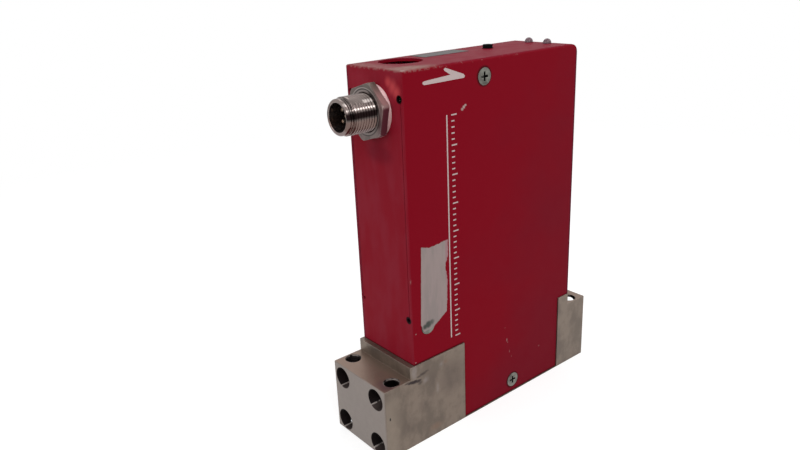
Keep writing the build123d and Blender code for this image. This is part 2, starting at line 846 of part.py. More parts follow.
chassis_screw_planes = [
    Plane.XY.offset(deck_height + foot_thickness).move(
        Location((post_screw_x, side * chassis_screw_spacing / 2, 0))
    )
    for side in (-1, 1)
]
cap_screw = headed_screw(cap_head, cap_head_height, cap_shank, cap_length, cap_socket)
chassis_screws = screw_group(cap_screw, chassis_screw_planes)

with BuildPart() as upper_bracket:
    bar_bottom = spine_top - bar_height
    with BuildSketch(Plane.XZ):
        with BuildLine():
            Polyline(
                (spine_end, bar_bottom),
                (bar_end, bar_bottom),
                (bar_end, indicator_bottom - shelf),
                (bar_end + shelf_length, indicator_bottom - shelf),
                (bar_end + shelf_length, indicator_bottom),
                (bar_end, indicator_bottom),
                (bar_end, spine_top),
                (spine_end, spine_top),
                close=True,
            )
        make_face()
    extrude(amount=board_inner, both=True)
    with BuildSketch(Plane.XY.offset(bar_bottom)):
        with Locations((upper_screw_x, 0)):
            Rectangle(bar_ear, 2 * inner_half)
    extrude(amount=bar_height)
    with BuildSketch(Plane.YZ.offset(spine_end)):
        with Locations((0, spine_top - bar_height / 2)):
            with GridLocations(bracket_screw_spacing, 0, 2, 1):
                Circle(pan_shank / 2 + slip)
    extrude(amount=pan_length, mode=Mode.SUBTRACT)
    with Locations((indicator_screw_x, 0, indicator_bottom)):
        with GridLocations(0, indicator_screw_spacing, 1, 2):
            Hole(pan_shank / 2 + slip, shelf)
    drill_cover_screws()

bracket_screw_planes = [
    Plane(
        origin=(spine_x, side * bracket_screw_spacing / 2, spine_top - bar_height / 2),
        x_dir=(0, 1, 0),
        z_dir=(-1, 0, 0),
    )
    for side in (-1, 1)
]
bracket_screws = screw_group(
    headed_screw(pan_head, pan_head_height, pan_shank, spine_thickness + pan_length - thread_hole_extra),
    bracket_screw_planes,
)

# ======== bypass and thermal sensor ========
with BuildPart() as bypass_element:
    with BuildSketch(Plane.XY.offset(bypass_seat)):
        with Locations((sensor_x, 0)):
            Circle(bypass_bore / 2 - slip)
            Circle(bypass_channel / 2, mode=Mode.SUBTRACT)
            with PolarLocations(bypass_ring_radius, 6):
                Circle(bypass_channel / 2, mode=Mode.SUBTRACT)
    extrude(amount=bypass_top - bypass_seat)

with BuildPart() as sensor_base:
    with BuildSketch(Plane.XY.offset(deck_height)):
        with Locations((sensor_x, 0)):
            Rectangle(sensor_base_length, sensor_base_width)
            with GridLocations(leg_pitch, 0, 2, 1):
                Circle(tube / 2 + slip, mode=Mode.SUBTRACT)
            with GridLocations(sensor_screw_pitch_x, sensor_screw_pitch_y, 2, 2):
                Circle(cap_shank / 2 + slip, mode=Mode.SUBTRACT)
    extrude(amount=sensor_base_height)
    with BuildSketch(Plane.XY.offset(deck_height)):
        with Locations((sensor_x, 0)):
            with GridLocations(leg_pitch, 0, 2, 1):
                Circle(leg_seal_outer / 2 + slip)
            Circle(bypass_seal_outer / 2 + slip)
    extrude(amount=seal_section, mode=Mode.SUBTRACT)

with BuildPart() as sensor_seals:
    with BuildSketch(Plane.XY.offset(deck_height)):
        with Locations((sensor_x, 0)):
            Circle(bypass_seal_outer / 2)
            Circle(bypass_bore / 2 + slip, mode=Mode.SUBTRACT)
            with GridLocations(leg_pitch, 0, 2, 1):
                Circle(leg_seal_outer / 2)
                Circle(leg_seal_inner / 2, mode=Mode.SUBTRACT)
    extrude(amount=seal_section)

with BuildPart() as sensor_tube:
    leg_low = sensor_x - leg_pitch / 2
    leg_high = sensor_x + leg_pitch / 2
    with BuildLine(Plane.XZ) as tube_route:
        FilletPolyline(
            (leg_low, deck_height),
            (leg_low, tube_top),
            (leg_high, tube_top),
            (leg_high, deck_height),
            radius=tube_bend,
        )
    with BuildSketch(Plane.XY.offset(deck_height)):
        with Locations((leg_low, 0)):
            Circle(tube / 2)
    sweep(path=tube_route.line)

with BuildPart() as sensor_coils:
    for side in (-1, 1):
        coil_middle = sensor_x + side * (coil_length + coil_gap) / 2
        with BuildSketch(Plane.YZ.offset(coil_middle - coil_length / 2)):
            with Locations((0, tube_top)):
                Circle(coil / 2)
                Circle(tube / 2 + slip, mode=Mode.SUBTRACT)
        extrude(amount=coil_length)

with BuildPart() as sensor_housing:
    with BuildSketch(Plane.XY.offset(sensor_top)):
        with Locations((sensor_x, 0)):
            RectangleRounded(can_length, can_width, 2 * can_wall)
    extrude(amount=can_height)
    with BuildSketch(Plane.XY.offset(sensor_top)):
        with Locations((sensor_x, 0)):
            RectangleRounded(can_length - 2 * can_wall, can_width - 2 * can_wall, can_wall)
    extrude(amount=can_height - can_wall, mode=Mode.SUBTRACT)

sensor_screw_planes = [
    Plane.XY.offset(sensor_top).move(
        Location((sensor_x + i * sensor_screw_pitch_x / 2, j * sensor_screw_pitch_y / 2, 0))
    )
    for i in (-1, 1)
    for j in (-1, 1)
]
sensor_screws = screw_group(cap_screw, sensor_screw_planes)

# ======== piezo valve ========
with BuildPart() as valve_seat:
    with BuildSketch(Plane.XY.offset(chamber_floor)):
        with Locations((valve_x, 0)):
            Circle(chamber / 2 - slip)
    extrude(amount=seat_thickness)
    with BuildSketch(Plane.XY.offset(chamber_floor)):
        with Locations((valve_x, 0)):
            Circle(seat_land / 2)
    extrude(amount=land_height - chamber_floor)
    with BuildSketch(Plane.XY.offset(chamber_floor)):
        with Locations((valve_x, 0)):
            Circle(seat_bore / 2)
    extrude(amount=land_height - chamber_floor, mode=Mode.SUBTRACT)

with BuildPart() as valve_diaphragm:
    with BuildSketch(Plane.XY.offset(deck_height - diaphragm_thickness)):
        with Locations((valve_x, 0)):
            Circle(diaphragm / 2)
    extrude(amount=diaphragm_thickness)

with BuildPart() as valve_body:
    with BuildSketch(Plane.XY.offset(deck_height)):
        with Locations((valve_x, 0)):
            Rectangle(bonnet_length, bonnet_width)
            with GridLocations(bonnet_screw_pitch_x, bonnet_screw_pitch_y, 2, 2):
                Circle(cap_shank / 2 + slip, mode=Mode.SUBTRACT)
    extrude(amount=bonnet_flange)
    with BuildSketch(Plane.XY.offset(bonnet_top)):
        with Locations((valve_x, 0)):
            Circle(bonnet_neck / 2)
    extrude(amount=bonnet_neck_height)
    with BuildSketch(Plane.XY.offset(deck_height)):
        with Locations((valve_x, 0)):
            Circle(bonnet_bore / 2)
    extrude(amount=bonnet_flange + bonnet_neck_height, mode=Mode.SUBTRACT)

with BuildPart() as valve_plunger:
    with BuildSketch(Plane.XY.offset(plunger_bottom)):
        with Locations((valve_x, 0)):
            Circle(plunger_nose / 2)
    extrude(amount=plunger_nose_height)
    with BuildSketch(Plane.XY.offset(plunger_bottom + plunger_nose_height)):
        with Locations((valve_x, 0)):
            Circle(plunger / 2)
    extrude(amount=plunger_height - plunger_nose_height)

with BuildPart() as piezo_stack:
    with BuildSketch(Plane.XY.offset(piezo_bottom)):
        with Locations((valve_x, 0)):
            Rectangle(piezo_width, piezo_width)
    extrude(amount=piezo_height)

with BuildPart() as actuator_housing:
    with BuildSketch(Plane.XY.offset(bonnet_top)):
        with Locations((valve_x, 0)):
            Circle(bonnet_neck / 2 + slip + actuator_wall)
            Circle(bonnet_neck / 2 + slip, mode=Mode.SUBTRACT)
    extrude(amount=actuator_height)

with BuildPart() as actuator_cap:
    with BuildSketch(Plane.XY.offset(piezo_top)):
        with Locations((valve_x, 0)):
            Circle(bonnet_neck / 2)
    extrude(amount=actuator_top - piezo_top)
    with BuildSketch(Plane.XY.offset(actuator_top)):
        with Locations((valve_x, 0)):
            RegularPolygon(actuator_cap_flats / 2, 6, major_radius=False)
    extrude(amount=actuator_cap_head)

valve_screw_planes = [
    Plane.XY.offset(bonnet_top).move(
        Location((valve_x + i * bonnet_screw_pitch_x / 2, j * bonnet_screw_pitch_y / 2, 0))
    )
    for i in (-1, 1)
    for j in (-1, 1)
]
valve_screws = screw_group(cap_screw, valve_screw_planes)

# ======== one file for each piece ========
pieces = {
    "base_block": base_block.part,
    "case_cover": case_cover.part,
    "cover_screws": cover_screws,
    "connector_shell": connector_shell.part,
    "connector_washer": connector_washer.part,
    "connector_nut": connector_nut.part,
    "connector_insert": connector_insert.part,
    "connector_pins": connector_pins.part,
    "top_label": top_label.part,
    "side_label": side_label.part,
    "switch_body": switch_body.part,
    "switch_dome": switch_dome_piece.part,
    "zero_button": zero_button.part,
    "status_leds": status_leds.part,
    "led_spacers": led_spacers.part,
    "main_board": main_board,
    "driver_board": driver_board,
    "board_screws": board_screws,
    "board_chips": board_chips.part,
    "capacitors": capacitors.part,
    "indicator_board": indicator_board.part,
    "indicator_screws": indicator_screws,
    "header_housing": header_housing.part,
    "header_pins": header_pins.part,
    "chassis": chassis.part,
    "chassis_screws": chassis_screws,
    "upper_bracket": upper_bracket.part,
    "bracket_screws": bracket_screws,
    "bypass_element": bypass_element.part,
    "sensor_base": sensor_base.part,
    "sensor_seals": sensor_seals.part,
    "sensor_tube": sensor_tube.part,
    "sensor_coils": sensor_coils.part,
    "sensor_housing": sensor_housing.part,
    "sensor_screws": sensor_screws,
    "valve_seat": valve_seat.part,
    "valve_diaphragm": valve_diaphragm.part,
    "valve_body": valve_body.part,
    "valve_plunger": valve_plunger.part,
    "piezo_stack": piezo_stack.part,
    "actuator_housing": actuator_housing.part,
    "actuator_cap": actuator_cap.part,
    "valve_screws": valve_screws,
}
os.makedirs("parts", exist_ok=True)
for name, piece in pieces.items():
    piece.label = name
    export_step(piece, f"parts/{name}.step")
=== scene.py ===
"""Looks, floor, light and camera of the mass flow controller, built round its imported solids."""

import json
import math
import bpy
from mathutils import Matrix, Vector, noise


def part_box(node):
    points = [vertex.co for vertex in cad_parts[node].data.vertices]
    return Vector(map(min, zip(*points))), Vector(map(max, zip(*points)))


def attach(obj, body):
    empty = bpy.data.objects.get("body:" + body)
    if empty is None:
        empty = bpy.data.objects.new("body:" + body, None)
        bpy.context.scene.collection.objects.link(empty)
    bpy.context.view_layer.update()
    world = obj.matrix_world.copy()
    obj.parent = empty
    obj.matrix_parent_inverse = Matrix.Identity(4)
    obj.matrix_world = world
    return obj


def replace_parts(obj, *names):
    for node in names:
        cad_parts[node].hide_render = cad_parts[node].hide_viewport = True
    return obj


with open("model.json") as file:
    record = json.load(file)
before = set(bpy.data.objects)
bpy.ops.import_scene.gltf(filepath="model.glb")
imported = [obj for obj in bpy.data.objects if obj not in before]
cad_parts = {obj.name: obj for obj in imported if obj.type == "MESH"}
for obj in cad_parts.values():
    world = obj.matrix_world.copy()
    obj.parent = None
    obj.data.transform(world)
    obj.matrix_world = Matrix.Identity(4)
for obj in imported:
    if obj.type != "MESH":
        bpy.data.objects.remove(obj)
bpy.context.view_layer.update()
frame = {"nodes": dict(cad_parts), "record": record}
nodes = frame["nodes"]

MM = 0.001

# ---- places read from the solids, in metres ----
case_low, case_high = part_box("case_cover")
block_low, block_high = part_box("base_block")
shell_low, shell_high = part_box("connector_shell")
nut_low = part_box("connector_nut")[0]
insert_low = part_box("connector_insert")[0]
label_low, label_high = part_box("side_label")
side_y = case_low[1]
connector_y = (shell_low[1] + shell_high[1]) / 2
connector_z = (shell_low[2] + shell_high[2]) / 2

# ---- places that the looks refer to, in millimetres ----
RELIEF_ASIDE = 12.2         # relief holes of the case, from the middle plane
RELIEF_HIGH = case_high[2] / MM - 8.5
RELIEF_LOW = 47.5
COVER_SCREWS = ((-4.8, case_high[2] / MM - 5.8), (10.05, 4.8))  # bare ones on each side, as (x, z)
FLANGE_TOP = 26.5
DECK = 31.0
END_HOLE_ASIDE = 9.4        # end holes: axes from the middle plane, and heights of the two rows
END_HOLE_LOW = 4.5
END_HOLE_HIGH = 21.7
END_HOLE_DEPTH = 12.0
FIXING_ASIDE = 10.92        # vertical fixing holes: axes from the middle plane and from the end faces
FIXING_INSET = 6.0
DEGREE = math.pi / 180


# ======== camera ========
CAMERA_PLACE = (-171.13 * MM, -176.52 * MM, 157.31 * MM)
CAMERA_TURN = (70.101, 2.493, -39.321)
LENS = 32.2
SENSOR = 36.0

camera_data = bpy.data.cameras.new("camera")
camera_data.lens = LENS
camera_data.sensor_width = SENSOR
camera = bpy.data.objects.new("camera", camera_data)
bpy.context.collection.objects.link(camera)
camera.location = CAMERA_PLACE
camera.rotation_euler = [math.radians(turn) for turn in CAMERA_TURN]
bpy.context.scene.camera = camera
bpy.context.scene.view_settings.view_transform = "Standard"


# ======== node helper ========
class Look:
    """A material under construction: one Principled shader and the nodes that feed it.

    Lengths are millimetres in the object's own frame, so a look stays on its piece as the piece moves.
    """

    def __init__(self, name, colour, roughness, metallic=0.0, **sockets):
        self.material = bpy.data.materials.new(name)
        self.material.use_nodes = True
        self.nodes = self.material.node_tree.nodes
        self.links = self.material.node_tree.links
        self.shader = self.nodes["Principled BSDF"]
        self.feed(self.shader.inputs["Base Color"], colour)
        self.feed(self.shader.inputs["Roughness"], roughness)
        self.feed(self.shader.inputs["Metallic"], metallic)
        for socket, value in sockets.items():
            self.feed(self.shader.inputs[socket.replace("_", " ")], value)
        coordinates = self.nodes.new("ShaderNodeTexCoord")
        self.place = self.vector("SCALE", coordinates.outputs["Object"], 1 / MM)

    def feed(self, socket, value):
        """Link value to the socket, or set it where value is a number or a colour."""
        if isinstance(value, bpy.types.NodeSocket):
            self.links.new(value, socket)
        elif isinstance(value, (tuple, list)) and socket.type == "RGBA" and len(value) == 3:
            socket.default_value = (*value, 1.0)
        else:
            socket.default_value = value

    def set(self, socket, value):
        self.feed(self.shader.inputs[socket], value)

    def vector(self, operation, first, second):
        node = self.nodes.new("ShaderNodeVectorMath")
        node.operation = operation
        self.feed(node.inputs[0], first)
        self.feed(node.inputs["Scale"] if operation == "SCALE" else node.inputs[1], second)
        return node.outputs["Value" if operation in ("DISTANCE", "DOT_PRODUCT", "LENGTH") else "Vector"]

    def math(self, operation, first, second=0.0, third=0.0, clamp=False):
        node = self.nodes.new("ShaderNodeMath")
        node.operation = operation
        node.use_clamp = clamp
        for socket, value in zip(node.inputs, (first, second, third)):
            self.feed(socket, value)
        return node.outputs[0]

    def noise(self, size, detail=2.0, stretch=(1.0, 1.0, 1.0), rough=0.5):
        """Smooth noise from 0 to 1, in blobs of about that size, stretched along the axes."""
        node = self.nodes.new("ShaderNodeTexNoise")
        scaled = self.vector("MULTIPLY", self.place, tuple(1 / (size * s) for s in stretch))
        self.feed(node.inputs["Vector"], scaled)
        self.feed(node.inputs["Scale"], 1.0)
        self.feed(node.inputs["Detail"], detail)
        self.feed(node.inputs["Roughness"], rough)
        return node.outputs["Fac"]

    def step(self, value, start, end):
        """Smooth step from 0 at start to 1 at end."""
        node = self.nodes.new("ShaderNodeMapRange")
        node.interpolation_type = "SMOOTHSTEP"
        self.feed(node.inputs["Value"], value)
        self.feed(node.inputs["From Min"], start)
        self.feed(node.inputs["From Max"], end)
        return node.outputs["Result"]

    def between(self, value, start, full, still_full, end):
        """0 outside start..end and 1 from full to still_full, with smooth steps between."""
        return self.both(self.step(value, start, full), self.step(value, end, still_full))

    def ranged(self, value, low, high):
        """Stretch a value from 0..1 to low..high."""
        return self.math("MULTIPLY_ADD", value, high - low, low)

    def mix(self, factor, first, second):
        node = self.nodes.new("ShaderNodeMix")
        node.data_type = "RGBA"
        self.feed(node.inputs["Factor"], factor)
        self.feed(node.inputs[6], first)
        self.feed(node.inputs[7], second)
        return node.outputs[2]

    def spot(self, centre, reach, soft, squash=(1.0, 1.0, 1.0), ragged=None, wobble=0.0):
        """1 inside an ellipsoid round centre, falling to 0 over soft; ragged moves its edge by wobble."""
        offset = self.vector("SUBTRACT", self.place, centre)
        offset = self.vector("MULTIPLY", offset, tuple(1 / s for s in squash))
        distance = self.vector("LENGTH", offset, (0.0, 0.0, 0.0))
        if ragged is not None:
            distance = self.math("MULTIPLY_ADD", ragged, wobble, distance)
        return self.step(distance, reach, reach - soft)

    def axis(self, name):
        node = self.nodes.new("ShaderNodeSeparateXYZ")
        self.feed(node.inputs[0], self.place)
        return node.outputs[name]

    def both(self, *values):
        result = values[0]
        for value in values[1:]:
            result = self.math("MULTIPLY", result, value)
        return result

    def ring(self, first, second):
        """Distance from a line along the third axis, given by two (axis output, value) pairs."""
        squares = []
        for output, value in (first, second):
            offset = self.math("SUBTRACT", output, value)
            squares.append(self.math("MULTIPLY", offset, offset))
        return self.math("SQRT", self.math("ADD", *squares))

    def most(self, *values):
        result = values[0]
        for value in values[1:]:
            result = self.math("MAXIMUM", result, value)
        return result

    def edge(self, radius, sharp=0.06):
        """1 along outer and inner edges, 0 on flat ground, from how far a rounded normal leans."""
        rounded = self.nodes.new("ShaderNodeBevel")
        rounded.samples = 4
        self.feed(rounded.inputs["Radius"], radius * MM)
        true = self.nodes.new("ShaderNodeNewGeometry")
        facing = self.vector("DOT_PRODUCT", rounded.outputs["Normal"], true.outputs["Normal"])
        return self.step(facing, 1.0, 1.0 - sharp)

    def bump(self, height, depth, round_edges=0.0):
        """Relief: height from 0 to 1 stands for depth in millimetres, over edges rounded to that radius."""
        node = self.nodes.new("ShaderNodeBump")
        self.feed(node.inputs["Height"], height)
        self.feed(node.inputs["Distance"], depth * MM)
        if round_edges:
            rounded = self.nodes.new("ShaderNodeBevel")
            rounded.samples = 4
            self.feed(rounded.inputs["Radius"], round_edges * MM)
            self.links.new(rounded.outputs["Normal"], node.inputs["Normal"])
        self.set("Normal", node.outputs["Normal"])


# ======== materials ========
RED = (0.207, 0.0030, 0.0112)
RED_DARK = (0.172, 0.0056, 0.0148)
RED_DUSTY = (0.215, 0.0130, 0.0250)
RED_TOP_TONE = (0.160, 0.0050, 0.0210)
RED_WORN = (0.265, 0.150, 0.130)
RED_RUBBED = (0.270, 0.100, 0.100)
RED_DENT_HIGHLIGHT = (0.52, 0.066, 0.072)
RED_SHADED = (0.050, 0.004, 0.006)
RED_EDGE_SHADE = (0.085, 0.010, 0.026)
BARE_METAL = (0.40, 0.29, 0.275)


def enamel():
    """Red enamel: faint orange peel, rubbed round the inlet end of the top, chipped down to the metal."""
    look = Look("red_enamel", RED, 0.42, Specular_IOR_Level=0.03)
    top = case_high[2] / MM
    inlet = case_low[0] / MM
    outlet = case_high[0] / MM
    near = case_low[1] / MM
    far = case_high[1] / MM
    along = look.axis("X")
    across = look.axis("Y")
    up = look.axis("Z")
    cloud = look.noise(30.0, 3.0)
    peel = look.noise(0.9, 2.0)
    fine = look.noise(0.35, 3.0)
    ragged = look.noise(1.3, 4.0, rough=0.65)
    streaky = look.noise(6.0, 3.0, stretch=(0.5, 1.0, 3.0))
    # the colour is darker towards the outlet and the foot, and dustier on the inlet wall
    drift_to_outlet_and_foot = look.math("MULTIPLY_ADD", along, 0.008, look.math("MULTIPLY", up, -0.003))
    ground = look.mix(look.step(look.math("ADD", cloud, drift_to_outlet_and_foot), 0.15, 0.75), RED, RED_DARK)
    on_inlet = look.step(along, inlet + 0.5, inlet + 0.1)
    dust = look.ranged(look.step(streaky, 0.35, 0.65), 0.35, 1.0)
    ground = look.mix(look.both(on_inlet, dust), ground, RED_DUSTY)
    # painted shade on the inlet wall below the connector
    in_shade = look.spot((inlet, -1.0, 102.0), 9.0, 6.0, squash=(1.0, 1.1, 0.55), ragged=ragged, wobble=1.5)
    ground = look.mix(look.both(on_inlet, in_shade, 0.45), ground, (0.100, 0.004, 0.012))
    # a painted pool of light near the top of the inlet wall
    painted_light_patch = look.spot((inlet, 7.5, 124.5), 9.0, 7.0, squash=(1.0, 1.0, 0.6), ragged=ragged, wobble=2.0)
    ground = look.mix(look.both(on_inlet, painted_light_patch, 0.6), ground, (0.255, 0.019, 0.034))
    # a shallow dent in the inlet wall beside the connector, dipped in the relief and painted lighter as the
    # highlight it catches
    dent_and_highlight = look.most(
        *(
            look.spot((inlet, y, z), reach, reach, squash=(1.0, 0.9, 1.0))
            for y, z, reach in ((-7.4, 125.0, 2.6), (-9.3, 123.7, 3.4), (-11.0, 122.4, 3.2))
        )
    )
    ground = look.mix(look.math("MULTIPLY", dent_and_highlight, 0.7), ground, RED_DENT_HIGHLIGHT)
    # paint rubbed thin on the top, along its inlet edge and most of all round the near corner
    on_top = look.step(up, top - 0.5, top - 0.1)
    # the top is a darker, bluer red than the sides, a tone set against the sheen it picks up under the
    # lamps
    ground = look.mix(look.both(on_top, 0.6), ground, RED_TOP_TONE)
    inlet_band = look.math("MULTIPLY", look.step(along, inlet + 7.5, inlet + 2.5), 0.45)
    near_band = look.both(
        look.step(across, near + 6.5, near + 2.5), look.step(along, inlet + 17.0, inlet + 9.0)
    )
    corner = (inlet + 3.5, near + 2.5, top)
    corner = look.spot(corner, 10.5, 4.5, squash=(1.1, 0.75, 1.0), ragged=ragged, wobble=2.5)
    mottled = look.ranged(look.step(ragged, 0.36, 0.60), 0.55, 1.0)
    rubbed = look.both(look.most(inlet_band, look.both(near_band, 0.85), corner), on_top, mottled)
    # folds worn in places
    folds = look.most(
        look.step(look.ring((across, near), (up, top)), 1.1, 0.5),
        look.step(look.ring((across, far), (up, top)), 1.2, 0.6),
        look.step(look.ring((along, inlet), (up, top)), 1.0, 0.4),
    )
    worn_through = look.math("MULTIPLY_ADD", cloud, 0.25, ragged)
    towards_outlet = look.step(along, inlet + 10.0, inlet + 22.0)
    worn_through = look.math("MULTIPLY_ADD", towards_outlet, -0.07, worn_through)
    fold_wear = look.both(folds, look.step(worn_through, 0.63, 0.74), 0.8)
    tip = (inlet + 0.8, near + 0.4, top)
    tip = look.spot(tip, 2.3, 1.4, squash=(1.3, 1.0, 0.5), ragged=fine, wobble=2.2)
    # painted shade in the gaps round the countersunk heads and along the lower edges, down the outlet edge
    # of the near side and along the far edge of the inlet wall
    shade = look.most(
        *(
            look.both(
                look.step(look.ring((along, x - 0.25), (up, z + 0.1)), 3.75, 3.05),
                look.step(look.math("ABSOLUTE", across), -near - 0.7, -near - 0.3),
            )
            for x, z in COVER_SCREWS
        ),
        look.both(look.step(up, DECK + 0.75, DECK + 0.15), look.step(along, -15.4, -16.0)),
        look.both(look.step(up, DECK - 0.1, DECK - 0.4), look.step(along, -15.0, -15.5)),
        look.both(look.step(up, 0.95, 0.45), look.step(along, -17.0, -16.0), 0.35),
    )
    ground = look.mix(look.math("MULTIPLY", shade, 0.75), ground, RED_SHADED)
    aside = look.math("ABSOLUTE", across)
    below_top = look.step(up, top - 0.5, top - 3.0)
    # painted shade down the outlet edge of the near side
    outlet_edge_shade = look.both(look.step(along, outlet - 1.3, outlet - 0.2), below_top)
    outlet_edge_shade = look.both(outlet_edge_shade, look.step(aside, -near - 0.6, -near - 0.2))
    ground = look.mix(look.math("MULTIPLY", outlet_edge_shade, 0.7), ground, RED_EDGE_SHADE)
    # painted shade along the far edge of the inlet wall
    far_edge_shade = look.both(on_inlet, look.step(across, far - 1.8, far - 0.4), below_top)
    ground = look.mix(look.math("MULTIPLY", far_edge_shade, 0.6), ground, (0.120, 0.010, 0.026))
    # painted shade in and round the two relief holes beside the near fold
    relief_hole_shade = look.most(
        look.step(look.ring((aside, RELIEF_ASIDE), (up, RELIEF_HIGH)), 1.50, 1.10),
        look.step(look.ring((aside, RELIEF_ASIDE), (up, RELIEF_LOW)), 1.50, 1.10),
    )
    near_inlet = look.both(look.step(along, inlet + 9.0, inlet + 8.0), look.step(across, 0.0, -1.0))
    relief_hole_shade = look.both(relief_hole_shade, near_inlet)
    ground = look.mix(relief_hole_shade, ground, (0.008, 0.002, 0.003))
    # chips, by place on the near side, each with its reach, its shape and how bare it is
    chips = [
        look.math("MULTIPLY", look.spot(place, reach, 0.4, squash=squash, ragged=fine, wobble=0.7), bare)
        for place, reach, squash, bare in (
            ((-14.9, near, 114.0), 1.15, (0.9, 1.0, 0.75), 0.8),
            ((-14.2, near, 114.6), 1.20, (0.8, 1.0, 0.75), 1.0),
            ((-13.5, near, 115.1), 1.10, (0.9, 1.0, 0.70), 1.0),
            ((5.6, near, 28.9), 0.75, (0.8, 1.0, 0.8), 0.35),
            ((6.6, near, 23.4), 0.95, (0.55, 1.0, 1.4), 0.6),
            ((7.1, near, 22.3), 0.80, (0.55, 1.0, 1.2), 0.5),
            ((8.1, near, 18.0), 0.85, (0.5, 1.0, 1.6), 0.4),
            ((9.2, near, 15.5), 0.75, (0.5, 1.0, 1.5), 0.35),
            ((25.1, near, 13.7), 0.85, (1.0, 1.0, 0.9), 0.3),
            ((-38.8, near, 61.9), 0.80, (0.8, 1.0, 2.4), 0.35),
            ((-37.5, near, 42.4), 0.75, (0.9, 1.0, 0.9), 0.7),
            ((-38.0, near, 31.9), 0.80, (1.0, 1.0, 0.6), 0.8),
        )
    ]
    chipped = look.most(look.math("MULTIPLY", tip, 0.85), *chips)
    worn = look.mix(rubbed, ground, RED_WORN)
    worn = look.mix(fold_wear, worn, RED_RUBBED)
    look.set("Base Color", look.mix(chipped, worn, BARE_METAL))
    look.set("Roughness", look.ranged(look.noise(5.0, 4.0), 0.42, 0.60))
    relief = look.math("MULTIPLY_ADD", fine, 0.25, peel)
    relief = look.math("SUBTRACT", relief, look.math("MULTIPLY", chipped, 2.0))
    relief = look.math("SUBTRACT", relief, look.math("MULTIPLY", dent_and_highlight, 10.0))
    look.bump(relief, 0.012, round_edges=0.25)
    return look.material


